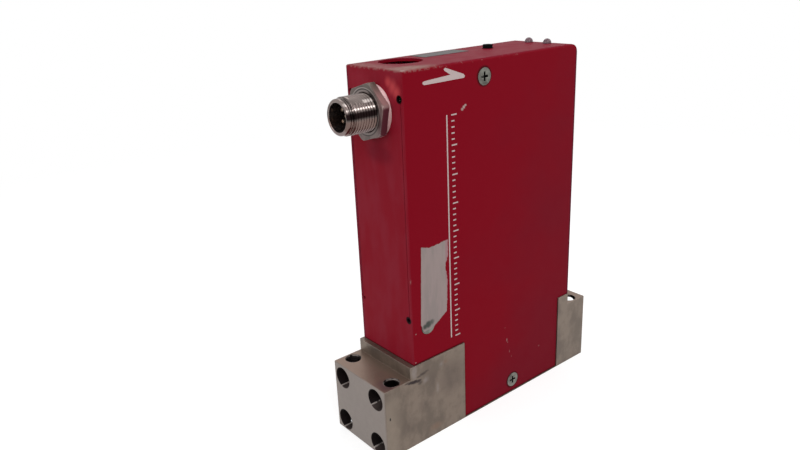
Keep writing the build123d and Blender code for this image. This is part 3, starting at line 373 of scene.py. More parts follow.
def milled_steel():
    """Stainless steel: fine lay of the mill, brown film on the flanges, dark smudges, painted shade and
    light in the bores.
    """
    light = (0.195, 0.152, 0.121)
    dark = (0.136, 0.106, 0.085)
    pale_end = (0.225, 0.192, 0.175)
    cream = (0.250, 0.202, 0.160)
    brown = (0.235, 0.162, 0.126)
    violet = (0.120, 0.072, 0.078)
    smudge_colour = (0.028, 0.018, 0.018)
    bore_shade_colour = (0.012, 0.007, 0.007)
    bore_floor_light = (0.070, 0.052, 0.048)
    bright = (0.50, 0.44, 0.41)
    look = Look("milled_steel", light, 0.38, metallic=0.72, Specular_IOR_Level=0.4)
    lay = look.noise(0.35, 2.0, stretch=(14.0, 14.0, 0.5))
    patches = look.noise(9.0, 4.0, stretch=(0.8, 1.0, 1.3), rough=0.6)
    small = look.noise(2.2, 4.0, rough=0.6)
    end = block_high[0] / MM
    inlet_end = -end
    near = block_low[1] / MM
    along = look.axis("X")
    across = look.axis("Y")
    up = look.axis("Z")
    from_middle = look.math("ABSOLUTE", along)
    aside = look.math("ABSOLUTE", across)
    ground = look.mix(look.step(patches, 0.40, 0.62), light, dark)
    ground = look.mix(look.math("MULTIPLY", look.step(small, 0.48, 0.72), 0.45), ground, dark)
    # the inlet end face is paler, and so is the strip of the near side beside it
    on_end = look.step(along, inlet_end + 0.5, inlet_end)
    ground = look.mix(look.math("MULTIPLY", on_end, 0.85), ground, pale_end)
    strip = look.both(look.step(along, inlet_end + 9.0, inlet_end + 2.0), look.step(up, 26.0, 20.0))
    strip = look.both(strip, look.step(along, inlet_end + 0.2, inlet_end + 0.8))
    ground = look.mix(look.math("MULTIPLY", strip, 0.6), ground, cream)
    # brown film on the flange's top, darker beside the step and violet at the near corner
    true = look.nodes.new("ShaderNodeNewGeometry")
    upward = look.nodes.new("ShaderNodeSeparateXYZ")
    look.feed(upward.inputs[0], true.outputs["True Normal"])
    level = look.step(upward.outputs["Z"], 0.7, 0.9)
    at_flange = look.between(up, FLANGE_TOP - 0.4, FLANGE_TOP - 0.2, FLANGE_TOP + 0.3, FLANGE_TOP + 0.7)
    on_flange = look.both(level, at_flange)
    brown_film = look.both(on_flange, look.ranged(look.step(patches, 0.3, 0.6), 0.45, 0.9))
    ground = look.mix(brown_film, ground, brown)
    violet_spot = look.spot((inlet_end + 3.5, near + 3.0, FLANGE_TOP), 6.5, 5.0, ragged=small, wobble=2.0)
    ground = look.mix(look.both(on_flange, violet_spot, 0.8), ground, violet)
    beside_step = look.both(on_flange, look.between(along, inlet_end + 8.0, inlet_end + 11.5, -1.0, 0.0))
    ground = look.mix(look.math("MULTIPLY", beside_step, 0.20), ground, (0.085, 0.062, 0.045))
    # finger marks on the near side: dark smudges, a wider haze, wiped places and a brown blush
    streaks = look.noise(0.9, 4.0, stretch=(2.0, 1.0, 0.7), rough=0.6)
    smudges = look.most(
        *(
            look.math(
                "MULTIPLY",
                look.spot((x, near, z), reach, 1.0, squash=(1.3, 1.0, flat), ragged=streaks, wobble=1.2),
                strength,
            )
            for x, z, reach, flat, strength in (
                (-42.6, 25.9, 1.9, 0.40, 0.75),
                (-41.0, 25.5, 2.2, 0.45, 0.95),
                (-39.4, 25.2, 2.4, 0.48, 1.0),
                (-37.8, 24.9, 2.2, 0.50, 0.9),
                (-36.9, 23.9, 1.8, 0.90, 0.6),
                (-37.2, 26.5, 1.9, 0.50, 0.6),
                (-35.6, 26.8, 2.1, 0.48, 0.65),
                (-34.0, 27.2, 1.9, 0.45, 0.5),
            )
        )
    )
    haze = look.most(
        look.spot((-42.5, near, 8.5), 8.0, 7.0, squash=(1.0, 1.0, 0.9), ragged=small, wobble=5.0),
        look.spot((-34.0, near, 14.0), 7.0, 6.0, squash=(1.2, 1.0, 0.7), ragged=small, wobble=5.0),
        look.spot((-22.0, near, 20.5), 11.5, 7.5, squash=(0.9, 1.0, 1.0), ragged=small, wobble=4.0),
        look.spot((-31.0, near, 22.5), 6.5, 5.5, squash=(0.8, 1.0, 1.1), ragged=small, wobble=4.5),
    )
    wiped = look.most(
        look.spot((-29.1, near, 18.2), 3.8, 2.6, squash=(0.45, 1.0, 1.4), ragged=small, wobble=2.8),
        look.spot((-34.5, near, 23.8), 4.2, 3.2, squash=(0.9, 1.0, 0.8), ragged=small, wobble=3.2),
        look.spot((-39.3, near, 29.0), 3.8, 2.0, squash=(0.6, 1.0, 1.3), ragged=small, wobble=2.0),
        look.spot((-27.0, near, 27.0), 3.6, 2.6, squash=(0.9, 1.0, 0.8), ragged=small, wobble=2.8),
    )
    blush = look.most(
        look.spot((-25.2, near, 27.4), 2.6, 2.0, squash=(1.0, 1.0, 0.8), ragged=small, wobble=1.6),
        look.spot((-30.3, near, 3.2), 5.0, 4.0, squash=(1.4, 1.0, 0.7), ragged=small, wobble=3.0),
    )
    pit = look.spot((inlet_end + 2.1, near, 15.5), 0.75, 0.3, squash=(0.5, 1.0, 1.0))
    ground = look.mix(look.math("MULTIPLY", haze, 0.50), ground, (0.094, 0.070, 0.060))
    ground = look.mix(look.math("MULTIPLY", wiped, 0.50), ground, (0.26, 0.225, 0.215))
    ground = look.mix(look.math("MULTIPLY", blush, 0.50), ground, (0.185, 0.105, 0.070))
    ground = look.mix(smudges, ground, smudge_colour)
    ground = look.mix(pit, ground, (0.02, 0.018, 0.018))
    # painted highlights along the edges, left out at the foot of the step
    step_foot = look.step(look.ring((from_middle, 40.9), (up, FLANGE_TOP)), 0.6, 0.9)
    edge_highlight = look.both(look.edge(0.35), step_foot, 0.22)
    ground = look.mix(edge_highlight, ground, (0.36, 0.31, 0.28))
    # end holes and fixing holes: painted shade inside, painted light on the floor of a bore with a painted
    # highlight line along it, and painted light at the rims of the fixing holes
    hole_end = look.math(
        "MINIMUM",
        look.ring((aside, END_HOLE_ASIDE), (up, END_HOLE_LOW)),
        look.ring((aside, END_HOLE_ASIDE), (up, END_HOLE_HIGH)),
    )
    deep_enough = look.step(from_middle, end - END_HOLE_DEPTH - 0.3, end - END_HOLE_DEPTH)
    in_end_hole = look.both(look.step(hole_end, 4.0, 3.85), deep_enough)
    hole_side = look.math("MULTIPLY", look.math("SIGN", across), END_HOLE_ASIDE)
    hole_side = look.math("SUBTRACT", across, hole_side)
    upper_row = look.math("GREATER_THAN", up, (END_HOLE_LOW + END_HOLE_HIGH) / 2)
    above_low = look.math("SUBTRACT", up, END_HOLE_LOW)
    hole_rise = look.math("MULTIPLY_ADD", upper_row, END_HOLE_LOW - END_HOLE_HIGH, above_low)
    turn = look.math("ARCTAN2", hole_rise, hole_side)
    turn = look.math("MULTIPLY_ADD", look.math("LESS_THAN", across, 0.0), -20 * DEGREE, turn)
    floor_of_bore = look.step(turn, -68 * DEGREE, -76 * DEGREE)
    floor_of_bore = look.both(floor_of_bore, look.step(from_middle, end - 9.0, end - 2.0))
    bore_highlight = look.between(turn, -76 * DEGREE, -72 * DEGREE, -69 * DEGREE, -65 * DEGREE)
    bore_highlight = look.both(in_end_hole, bore_highlight, look.step(small, 0.36, 0.50), 0.9)
    fixing = look.ring((from_middle, end - FIXING_INSET), (aside, FIXING_ASIDE))
    in_fixing = look.both(look.step(fixing, 2.95, 2.85), look.step(up, DECK, DECK - 0.5))
    at_rim = look.step(up, FLANGE_TOP - 0.8, FLANGE_TOP - 0.5)
    rim_light = look.both(in_fixing, at_rim, look.step(small, 0.42, 0.55))
    ground = look.mix(look.most(in_end_hole, in_fixing), ground, bore_shade_colour)
    ground = look.mix(look.both(in_end_hole, floor_of_bore), ground, bore_floor_light)
    ground = look.mix(bore_highlight, ground, bright)
    ground = look.mix(look.math("MULTIPLY", rim_light, 0.7), ground, (0.33, 0.28, 0.26))
    look.set("Base Color", ground)
    in_bores = look.most(in_end_hole, in_fixing)
    satin = look.ranged(look.math("ADD", look.math("MULTIPLY", lay, 0.5), small), 0.24, 0.46)
    look.set("Roughness", look.math("MULTIPLY_ADD", in_bores, 0.25, satin, clamp=True))
    # thread in the vertical holes
    thread = look.math("SINE", look.math("MULTIPLY", up, 2 * math.pi / 0.8))
    thread = look.math("MULTIPLY", thread, look.math("MULTIPLY", in_fixing, 9.0))
    relief = look.math("SUBTRACT", look.math("ADD", lay, thread), look.math("MULTIPLY", pit, 12.0))
    look.bump(relief, 0.006, round_edges=0.2)
    return look.material


def worn_metal(name, colour, dirt, roughness=0.3, metallic=0.9, grain=0.5, relief=0.004):
    """Small metal parts: bright ground with mottled dirt, painted highlights along edges, painted shade in
    the hollows, and scratches of the given grain.
    """
    look = Look(name, colour, roughness, metallic=metallic)
    cloud = look.noise(3.0, 4.0, rough=0.6)
    scratches = look.noise(grain, 3.0, stretch=(1.0, 4.0, 1.0))
    ground = look.mix(look.step(cloud, 0.42, 0.70), colour, dirt)
    bright = tuple(min(1.0, 1.6 * part) for part in colour)
    # painted highlights along edges
    ground = look.mix(look.math("MULTIPLY", look.edge(0.2), 0.55), ground, bright)
    # painted shade in recesses: open ground sees the air round it, a recess doesn't
    open_air = look.nodes.new("ShaderNodeAmbientOcclusion")
    open_air.samples = 4
    open_air.inputs["Distance"].default_value = 1.2 * MM
    recess_shade = look.step(open_air.outputs["AO"], 0.80, 0.45)
    look.set("Base Color", look.mix(recess_shade, ground, tuple(0.12 * part for part in dirt)))
    look.set("Roughness", look.ranged(cloud, roughness * 0.7, roughness * 1.4))
    look.bump(scratches, relief, round_edges=0.1)
    return look.material


def nickel():
    """Nickel plate of the barrel, with painted light and shade: dark upper grooves, lit lower grooves,
    highlight rows on the crests and edges, a dark reflection band, a dimmed band where the lamp's highlight
    falls, and browner and paler reflections underneath.
    """
    bright = (0.225, 0.182, 0.168)
    underside_reflection = (0.150, 0.094, 0.080)
    black = (0.012, 0.006, 0.006)
    look = Look("nickel_plate", bright, 0.22, metallic=0.95)
    cloud = look.noise(5.0, 3.0)
    aside = look.math("SUBTRACT", connector_y / MM, look.axis("Y"))
    rise = look.math("SUBTRACT", look.axis("Z"), connector_z / MM)
    radius = look.ring((look.axis("Y"), connector_y / MM), (look.axis("Z"), connector_z / MM))
    turn = look.math("ARCTAN2", rise, look.math("ABSOLUTE", aside))
    behind_collar = look.step(look.axis("X"), shell_low[0] / MM + 0.9, shell_low[0] / MM + 1.3)
    in_groove = look.both(look.step(radius, 5.85, 5.45), look.step(radius, 5.0, 5.3), behind_collar)
    # painted light and shade by the turn round the axis: a dark reflection band, highlight rows on the
    # crests, and a dimmed band where the lamp's highlight falls
    dark_reflection_band = look.between(turn, -12 * DEGREE, 2 * DEGREE, 13 * DEGREE, 27 * DEGREE)
    row = look.between(turn, 22 * DEGREE, 26 * DEGREE, 27 * DEGREE, 31 * DEGREE)
    dimmed_highlight_band = look.between(turn, 27 * DEGREE, 31 * DEGREE, 43 * DEGREE, 49 * DEGREE)
    upper_row = look.between(turn, 40 * DEGREE, 45 * DEGREE, 51 * DEGREE, 57 * DEGREE)
    ends = look.most(
        look.step(look.axis("X"), shell_low[0] / MM + 1.0, shell_low[0] / MM + 0.7),
        look.step(look.axis("X"), nut_low[0] / MM - 3.6, nut_low[0] / MM - 3.0),
    )
    # painted reflections underneath: browner below the band, paler at the foot
    under = look.step(turn, 0.0, -14 * DEGREE)
    pale_foot_reflection = look.step(turn, -38 * DEGREE, -50 * DEGREE)
    outside = look.step(radius, 4.7, 4.9)
    ground = look.mix(look.step(cloud, 0.45, 0.75), bright, (0.16, 0.125, 0.115))
    # painted shade in the grooves above the axis
    shaded_upper_grooves = look.both(in_groove, look.step(turn, 0.0, 12 * DEGREE))
    ground = look.mix(look.both(shaded_upper_grooves, 0.55), ground, (0.05, 0.035, 0.032))
    # painted highlights along edges
    edge_highlight = look.math("MULTIPLY", look.edge(0.2), 0.3)
    ground = look.mix(edge_highlight, ground, (0.60, 0.53, 0.50))
    # painted light in the grooves below the axis, which evens out their shade
    lit_lower_grooves = look.both(in_groove, look.step(turn, 0.0, -12 * DEGREE))
    ground = look.mix(look.both(dimmed_highlight_band, 0.55), ground, (0.085, 0.064, 0.060))
    ground = look.mix(look.both(under, 0.85), ground, underside_reflection)
    ground = look.mix(look.both(pale_foot_reflection, 0.8), ground, (0.24, 0.19, 0.185))
    ground = look.mix(look.both(lit_lower_grooves, 0.8), ground, (0.40, 0.29, 0.26))
    ground = look.mix(look.both(dark_reflection_band, outside), ground, black)
    # painted highlight rows on the crests
    crest_highlight = look.both(look.most(row, look.both(upper_row, ends)), look.step(radius, 5.25, 5.80))
    look.set("Base Color", look.mix(look.math("MULTIPLY", crest_highlight, 0.9), ground, (0.66, 0.58, 0.55)))
    look.set("Roughness", look.ranged(cloud, 0.16, 0.28))
    look.bump(look.noise(0.5, 3.0), 0.002, round_edges=0.12)
    return look.material


def nut_plate():
    """Nickel plate of the nut: dull face, painted shadow in the gap round the barrel, painted shade in its
    bore, painted highlights on its chamfer and edges, and painted light on the upper flats.
    """
    look = Look("nut_plate", (0.15, 0.11, 0.10), 0.36, metallic=0.45, Specular_IOR_Level=0.3)
    cloud = look.noise(3.0, 4.0, rough=0.6)
    front = look.step(look.axis("X"), nut_low[0] / MM + 0.5, nut_low[0] / MM + 0.2)
    radius = look.ring((look.axis("Y"), connector_y / MM), (look.axis("Z"), connector_z / MM))
    rise = look.math("SUBTRACT", look.axis("Z"), connector_z / MM)
    # the flats are painted dark red below the axis, painted light just above it and duller higher up
    flats = look.mix(look.step(rise, 1.6, 2.6), (0.115, 0.030, 0.042), (0.42, 0.27, 0.26))
    flats = look.mix(look.step(rise, 4.8, 9.0), flats, (0.15, 0.115, 0.095))
    face = look.mix(look.step(rise, -3.0, 3.0), (0.175, 0.130, 0.122), (0.118, 0.096, 0.084))
    face = look.mix(look.step(cloud, 0.45, 0.70), face, (0.085, 0.065, 0.058))
    aside = look.math("SUBTRACT", connector_y / MM, look.axis("Y"))
    # the near side of the face takes the flats' painted light and shade, which moves its apparent edge
    rubbed = look.mix(look.step(rise, -3.0, 1.0), (0.105, 0.060, 0.062), (0.230, 0.150, 0.140))
    face = look.mix(look.step(aside, 5.0, 7.5), face, rubbed)
    # painted shade in the bore above the axis on the near side
    shaded_hollow = look.both(look.step(aside, 1.5, 3.5), look.step(rise, -0.5, 1.5))
    inner = look.mix(shaded_hollow, (0.21, 0.17, 0.16), (0.012, 0.009, 0.008))
    face = look.mix(look.step(radius, 7.05, 6.85), face, inner)
    # painted shadow in the gap round the barrel
    gap_shadow = look.both(look.step(radius, 6.95, 7.1), look.step(radius, 7.40, 7.25))
    face = look.mix(look.math("MULTIPLY", gap_shadow, 0.8), face, (0.015, 0.011, 0.010))
    # painted highlight on the nut's inner chamfer
    chamfer_highlight = look.both(look.step(radius, 7.35, 7.45), look.step(radius, 7.75, 7.6), look.step(rise, -1.0, 2.0))
    face = look.mix(look.math("MULTIPLY", chamfer_highlight, 0.7), face, (0.38, 0.32, 0.31))
    ground = look.mix(front, flats, face)
    # painted highlights along edges
    ground = look.mix(look.math("MULTIPLY", look.edge(0.25), 0.45), ground, (0.38, 0.31, 0.30))
    look.set("Base Color", ground)
    look.set("Roughness", look.ranged(cloud, 0.30, 0.45))
    look.bump(look.noise(0.5, 3.0), 0.003, round_edges=0.12)
    return look.material


def plastic(name, colour, roughness=0.5, grain=0.25, relief=0.01, specular=0.4, light=None):
    """Moulded plastic with a fine grain, a little dust and softened edges."""
    look = Look(name, colour, roughness, Specular_IOR_Level=specular)
    cloud = look.noise(2.5, 3.0)
    dust = light or tuple(part + 0.03 for part in colour)
    look.set("Base Color", look.mix(look.step(cloud, 0.45, 0.8), colour, dust))
    look.set("Roughness", look.ranged(cloud, roughness - 0.08, roughness + 0.12))
    look.bump(look.noise(grain, 3.0), relief, round_edges=0.12)
    return look.material


def fibre():
    """Vulcanised fibre of the sealing washer, painted lighter where it faces up, as the light falls on it.
    """
    look = Look("washer_fibre", (0.62, 0.42, 0.42), 0.6, Specular_IOR_Level=0.2)
    cloud = look.noise(2.5, 3.0)
    rise = look.math("SUBTRACT", look.axis("Z"), connector_z / MM)
    # painted light towards the top
    ground = look.mix(look.step(rise, -1.0, 4.0), (0.56, 0.36, 0.35), (0.88, 0.63, 0.63))
    look.set("Base Color", look.mix(look.step(cloud, 0.45, 0.80), ground, (0.54, 0.34, 0.34)))
    look.set("Roughness", look.ranged(cloud, 0.52, 0.72))
    look.bump(look.noise(0.25, 3.0), 0.01, round_edges=0.12)
    return look.material


def paper():
    """Torn back layer of a paper label: long fibres, grey smears, a sag into the screw head below it with
    painted shade in the sag.
    """
    pale = (0.315, 0.252, 0.240)
    grey = (0.262, 0.222, 0.210)
    look = Look("torn_paper", pale, 0.75, Specular_IOR_Level=0.15)
    fibres = look.noise(0.5, 4.0, stretch=(1.0, 1.0, 6.0), rough=0.6)
    smears = look.noise(2.6, 3.0, stretch=(0.7, 1.0, 4.0))
    ground = look.mix(look.step(smears, 0.38, 0.68), pale, grey)
    ground = look.mix(look.math("MULTIPLY", fibres, 0.35), ground, (0.38, 0.29, 0.285))
    near = label_low[1] / MM
    torn_edge = look.step(look.math("MULTIPLY_ADD", smears, 1.2, look.axis("X")), -23.4, -22.6)
    ground = look.mix(look.math("MULTIPLY", torn_edge, 0.7), ground, (0.36, 0.175, 0.200))
    # the sag dips in the relief and is painted with its shade, darkest towards the inlet
    sag_and_shade = look.most(
        *(
            look.spot((x, near, z), reach, 0.9, squash=(1.15, 1.0, 1.05), ragged=fibres, wobble=0.5)
            for x, z, reach in ((-33.5, 43.8, 1.55), (-32.0, 44.2, 1.85), (-30.4, 44.6, 1.55))
        )
    )
    sag_shade_colour = look.mix(look.step(look.axis("X"), -32.2, -29.2), (0.038, 0.050, 0.042), (0.130, 0.125, 0.115))
    look.set("Base Color", look.mix(look.math("MULTIPLY", sag_and_shade, 0.9), ground, sag_shade_colour))
    look.set("Roughness", look.ranged(fibres, 0.65, 0.85))
    look.bump(look.math("SUBTRACT", fibres, look.math("MULTIPLY", sag_and_shade, 2.0)), 0.03)
    return look.material


def film():
    """Grey-green label film with paler patches and fine pale scratches."""
    look = Look("label_film", (0.07, 0.08, 0.073), 0.5, Specular_IOR_Level=0.05)
    cloud = look.noise(4.0, 3.0)
    scratches = look.noise(0.4, 3.0, stretch=(9.0, 1.0, 1.0))
    ground = look.mix(look.step(cloud, 0.35, 0.70), (0.065, 0.080, 0.072), (0.120, 0.100, 0.104))
    look.set("Base Color", look.mix(look.math("MULTIPLY", scratches, 0.3), ground, (0.24, 0.20, 0.205)))
    look.set("Roughness", look.ranged(cloud, 0.40, 0.60))
    look.bump(scratches, 0.006, round_edges=0.08)
    return look.material


def ink():
    """Screen-printed off-white ink, a little thin in places."""
    look = Look("white_ink", (0.47, 0.36, 0.34), 0.55, Specular_IOR_Level=0.2)
    worn = look.noise(0.6, 4.0, rough=0.65)
    look.set("Base Color", look.mix(look.step(worn, 0.60, 0.78), (0.52, 0.42, 0.41), (0.30, 0.14, 0.15)))
    look.set("Roughness", look.ranged(worn, 0.45, 0.65))
    look.bump(worn, 0.004)
    return look.material


def resin():
    """Clear cast resin of the lamps, slightly dusty."""
    look = Look("lamp_resin", (0.24, 0.11, 0.14), 0.22, Transmission_Weight=0.35, IOR=1.5)
    cloud = look.noise(1.2, 3.0)
    look.set("Base Color", look.mix(cloud, (0.22, 0.11, 0.14), (0.11, 0.05, 0.065)))
    look.set("Roughness", look.ranged(cloud, 0.15, 0.35))
    look.bump(look.noise(0.4, 2.0), 0.006, round_edges=0.1)
    return look.material


def laminate():
    """Green circuit board: solder mask over woven glass, with faint copper tracks."""
    look = Look("board_laminate", (0.02, 0.12, 0.05), 0.35)
    weave = look.noise(0.5, 2.0, stretch=(3.0, 3.0, 0.6))
    tracks = look.step(look.noise(1.3, 0.0, stretch=(1.0, 1.0, 8.0)), 0.50, 0.54)
    look.set("Base Color", look.mix(tracks, (0.008, 0.050, 0.022), (0.012, 0.080, 0.032)))
    look.set("Roughness", look.ranged(weave, 0.28, 0.45))
    look.bump(look.math("ADD", weave, tracks), 0.015)
    return look.material


def winding():
    """Varnished heater wire: fine turns across the sensor tube's legs."""
    look = Look("coil_wire", (0.30, 0.10, 0.04), 0.3, metallic=0.6)
    turns = look.math("SINE", look.math("MULTIPLY", look.axis("Z"), 2 * math.pi / 0.12))
    look.set("Base Color", look.mix(look.ranged(turns, 0.2, 0.5), (0.34, 0.12, 0.05), (0.12, 0.04, 0.02)))
    look.bump(turns, 0.03)
    return look.material


looks = {
    "case_paint": enamel(),
    "block_steel": milled_steel(),
    "screw_steel": worn_metal("screw_steel", (0.205, 0.205, 0.178), (0.095, 0.090, 0.080), 0.34),
    "nickel_plate": nickel(),
    "washer_fibre": fibre(),
    "black_plastic": plastic("black_plastic", (0.012, 0.011, 0.012), 0.45, light=(0.03, 0.027, 0.028)),
    "contact_metal": worn_metal("contact_metal", (0.42, 0.35, 0.27), (0.20, 0.16, 0.12), 0.25),
    "label_film": film(),
    "label_paper": paper(),
    "spring_steel": worn_metal("spring_steel", (0.42, 0.40, 0.38), (0.25, 0.23, 0.22), 0.3),
    "button_plastic": plastic(
        "button_plastic", (0.003, 0.003, 0.003), 0.7, specular=0.04, light=(0.007, 0.006, 0.007)
    ),
    "lamp_resin": resin(),
    "board_laminate": laminate(),
    "capacitor_can": worn_metal("capacitor_can", (0.60, 0.60, 0.62), (0.40, 0.40, 0.42), 0.25),
    "chassis_alloy": worn_metal("chassis_alloy", (0.50, 0.50, 0.50), (0.35, 0.35, 0.36), 0.35),
    "seal_nickel": worn_metal("seal_nickel", (0.42, 0.40, 0.36), (0.28, 0.26, 0.23), 0.35),
    "coil_wire": winding(),
    "piezo_ceramic": plastic("piezo_ceramic", (0.12, 0.09, 0.06), 0.5, light=(0.16, 0.12, 0.08)),
}
for subpart in frame["record"]["subparts"]:
    mesh = nodes[subpart["node"]].data
    mesh.materials.clear()
    mesh.materials.append(looks[subpart["material_slot"]])
nodes["connector_nut"].data.materials[0] = nut_plate()


# ======== pieces made here ========
def new_piece(name, vertices, faces, look, body="housing"):
    """A mesh piece in the row frame, riding on a body."""
    mesh = bpy.data.meshes.new(name)
    mesh.from_pydata(vertices, [], faces)
    mesh.validate()
    mesh.update()
    mesh.materials.append(look)
    piece = bpy.data.objects.new(name, mesh)
    bpy.context.collection.objects.link(piece)
    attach(piece, body)
    return piece


# ---- threaded barrel of the connector ----
BARREL = 6.0 * MM
COLLAR = 5.65 * MM          # smooth ring behind the rim
RIM_ROUND = 0.6 * MM        # rounding between the rim's face and the ring
END_COLLAR = 1.05 * MM      # length of the rim and its ring
O_RING_GROOVE = 0.42 * MM   # each of the two grooves behind it
GROOVE_DEPTH = 0.45 * MM
GROOVE_RIDGE = 0.28 * MM
THREAD_START = 2.35 * MM
THREAD_PITCH = 1.0 * MM
THREAD_DEPTH = 0.34 * MM
SOCKET_BORE = 4.45 * MM
KEY_END = 3.2 * MM          # where the socket's key begins, from the rim
COLLAR_OUTER = 8.0 * MM     # flange behind the wall
INNER_BORE = 5.2 * MM       # bore behind the insulator's shoulder
KEY_WIDTH = 1.0 * MM
KEY_HEIGHT = 0.6 * MM
TURN_STEPS = 144
THREAD_STEP = 0.1 * MM


def thread_radius(from_rim, turn, thread_end):
    """Radius of the thread there: flat crests, sharp roots, run out smoothly at both ends."""
    phase = (from_rim / THREAD_PITCH - turn / (2 * math.pi)) % 1.0
    flank = min(1.0, 1.35 * abs(2 * phase - 1))
    fade = min(1.0, (from_rim - THREAD_START) / THREAD_PITCH, (thread_end - from_rim) / THREAD_PITCH)
    return BARREL - THREAD_DEPTH * (1 - flank) * max(0.0, fade)


def threaded_barrel():
    """The connector's metal shell: socket, rounded rim, end collar, two grooves and the fine thread."""
    rim = shell_low[0]
    back = shell_high[0]
    collar_front = case_low[0] + 1.0 * MM - rim
    thread_end = nut_low[0] - rim + 1.2 * MM
    shoulder = insert_low[0] + 0.3 * MM - rim
    rows = [(shoulder, SOCKET_BORE, "bore"), (KEY_END, SOCKET_BORE, "bore")]
    rows.append((KEY_END - 0.01 * MM, SOCKET_BORE, None))
    rows += [(0.5 * MM, SOCKET_BORE, None), (0.12 * MM, SOCKET_BORE + 0.06 * MM, None)]
    rows += [(0.0, SOCKET_BORE + 0.22 * MM, None)]
    for i in range(9):
        lean = math.pi / 2 * i / 8
        rows.append((RIM_ROUND * (1 - math.cos(lean)), COLLAR - RIM_ROUND * (1 - math.sin(lean)), None))
    start = END_COLLAR
    for groove in range(2):
        for along, deep in ((0.0, 0.0), (0.10, 0.75), (0.30, 1.0), (0.70, 1.0), (0.90, 0.75), (1.0, 0.0)):
            rows.append((start + along * O_RING_GROOVE, COLLAR - deep * GROOVE_DEPTH, None))
        start += O_RING_GROOVE + GROOVE_RIDGE
    rows.append((start - 0.1 * MM, COLLAR, None))
    steps = int((thread_end - THREAD_START) / THREAD_STEP)
    for i in range(steps + 1):
        rows.append((THREAD_START + (thread_end - THREAD_START) * i / steps, BARREL, "thread"))
    rows += [(collar_front, BARREL, None), (collar_front, COLLAR_OUTER, None)]
    rows += [(back - rim, COLLAR_OUTER, None), (back - rim, INNER_BORE, None), (shoulder, INNER_BORE, None)]
    vertices = []
    for from_rim, radius, kind in rows:
        for i in range(TURN_STEPS):
            turn = 2 * math.pi * i / TURN_STEPS
            r = radius
            if kind == "thread":
                r = thread_radius(from_rim, turn, thread_end)
            at_key = abs(radius * math.sin(turn - math.pi / 2)) < KEY_WIDTH / 2 and math.sin(turn) > 0
            if kind == "bore" and at_key:
                r = radius - KEY_HEIGHT
            y = connector_y + r * math.cos(turn)
            z = connector_z + r * math.sin(turn)
            vertices.append((rim + from_rim, y, z))
    faces = []
    for row in range(len(rows)):
        following = (row + 1) % len(rows)
        for i in range(TURN_STEPS):
            j = (i + 1) % TURN_STEPS
            faces.append(
                (
                    row * TURN_STEPS + i,
                    row * TURN_STEPS + j,
                    following * TURN_STEPS + j,
                    following * TURN_STEPS + i,
                )
            )
    piece = new_piece("threaded_barrel", vertices, faces, looks["nickel_plate"])
    smooth_by_angle(piece, 35)
    return piece


def smooth_by_angle(piece, degrees):
    """Smooth shading except over edges sharper than the angle."""
    bpy.context.view_layer.objects.active = piece
    for other in bpy.context.selected_objects:
        other.select_set(False)
    piece.select_set(True)
    bpy.ops.object.shade_smooth_by_angle(angle=math.radians(degrees))


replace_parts(threaded_barrel(), "connector_shell")


# ---- flat prints and the torn label on the near side ----
PRINT_THICKNESS = 0.03 * MM


def plate(name, outline, y, thickness, look):
    """Thin plate on the near side: outline in (x, z) millimetres, standing proud of y by its thickness."""
    count = len(outline)
    area = sum(
        outline[i][0] * outline[(i + 1) % count][1] - outline[(i + 1) % count][0] * outline[i][1]
        for i in range(count)
    )
    points = outline if area > 0 else outline[::-1]
    vertices = [(x * MM, y - thickness, z * MM) for x, z in points]
    vertices += [(x * MM, y, z * MM) for x, z in points]
    faces = [tuple(range(count)), tuple(range(2 * count - 1, count - 1, -1))]
    faces += [(i, i + count, (i + 1) % count + count, (i + 1) % count) for i in range(count)]
    return new_piece(name, vertices, faces, look)


def ragged_outline(corners, step, rough, seed):
    """Corners joined by torn edges: extra points every step, pushed about by noise.

    Each corner is (x, z, how torn the edge after it is).
    """
    points = []
    for i, (x, z, torn) in enumerate(corners):
        next_x, next_z, _ = corners[(i + 1) % len(corners)]
        length = math.hypot(next_x - x, next_z - z)
        pieces = max(1, int(length / step))
        for k in range(pieces):
            share = k / pieces
            px = x + share * (next_x - x)
            pz = z + share * (next_z - z)
            push = noise.noise(Vector((px * 0.9, pz * 0.9, seed)))
            push += 0.5 * noise.noise(Vector((px * 3, pz * 3, seed)))
            push *= rough * torn * min(1.0, 4 * share, 4 * (1 - share) + 0.3)
            points.append((px + push * (next_z - z) / length, pz - push * (next_x - x) / length))
    return points


LABEL_CORNERS = (
    (-34.0, 72.4, 0.3), (-30.9, 71.4, 0.8), (-27.8, 71.6, 0.8), (-22.4, 72.0, 0.9), (-22.5, 66.4, 1.0),
    (-23.8, 62.6, 0.8), (-22.9, 57.6, 0.7), (-23.6, 46.3, 0.6), (-26.3, 44.6, 0.5), (-27.7, 43.7, 0.4),
    (-29.3, 42.7, 0.3), (-31.8, 42.1, 0.3), (-34.1, 42.1, 0.2), (-35.2, 45.0, 0.15),
)
torn_label = plate(
    "torn_label",
    ragged_outline(LABEL_CORNERS, 0.45, 0.5, 3.0),
    side_y,
    label_high[1] - label_low[1],
    looks["label_paper"],
)
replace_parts(torn_label, "side_label")

white_ink = ink()
ARROW = (
    (-30.5, 123.57), (-14.0, 123.71), (-13.55, 124.2), (-14.1, 124.9), (-21.8, 127.7), (-22.45, 127.4),
    (-22.2, 126.85), (-19.7, 125.35), (-30.2, 124.75), (-31.0, 124.55), (-31.15, 124.0),
)
plate("flow_arrow", ARROW, side_y, PRINT_THICKNESS, white_ink)


def bar(name, x0, x1, z0, z1):
    """A plain printed bar."""
    outline = [(x0, z0), (x1, z0), (x1, z1), (x0, z1)]
    return plate(name, outline, side_y, PRINT_THICKNESS, white_ink)


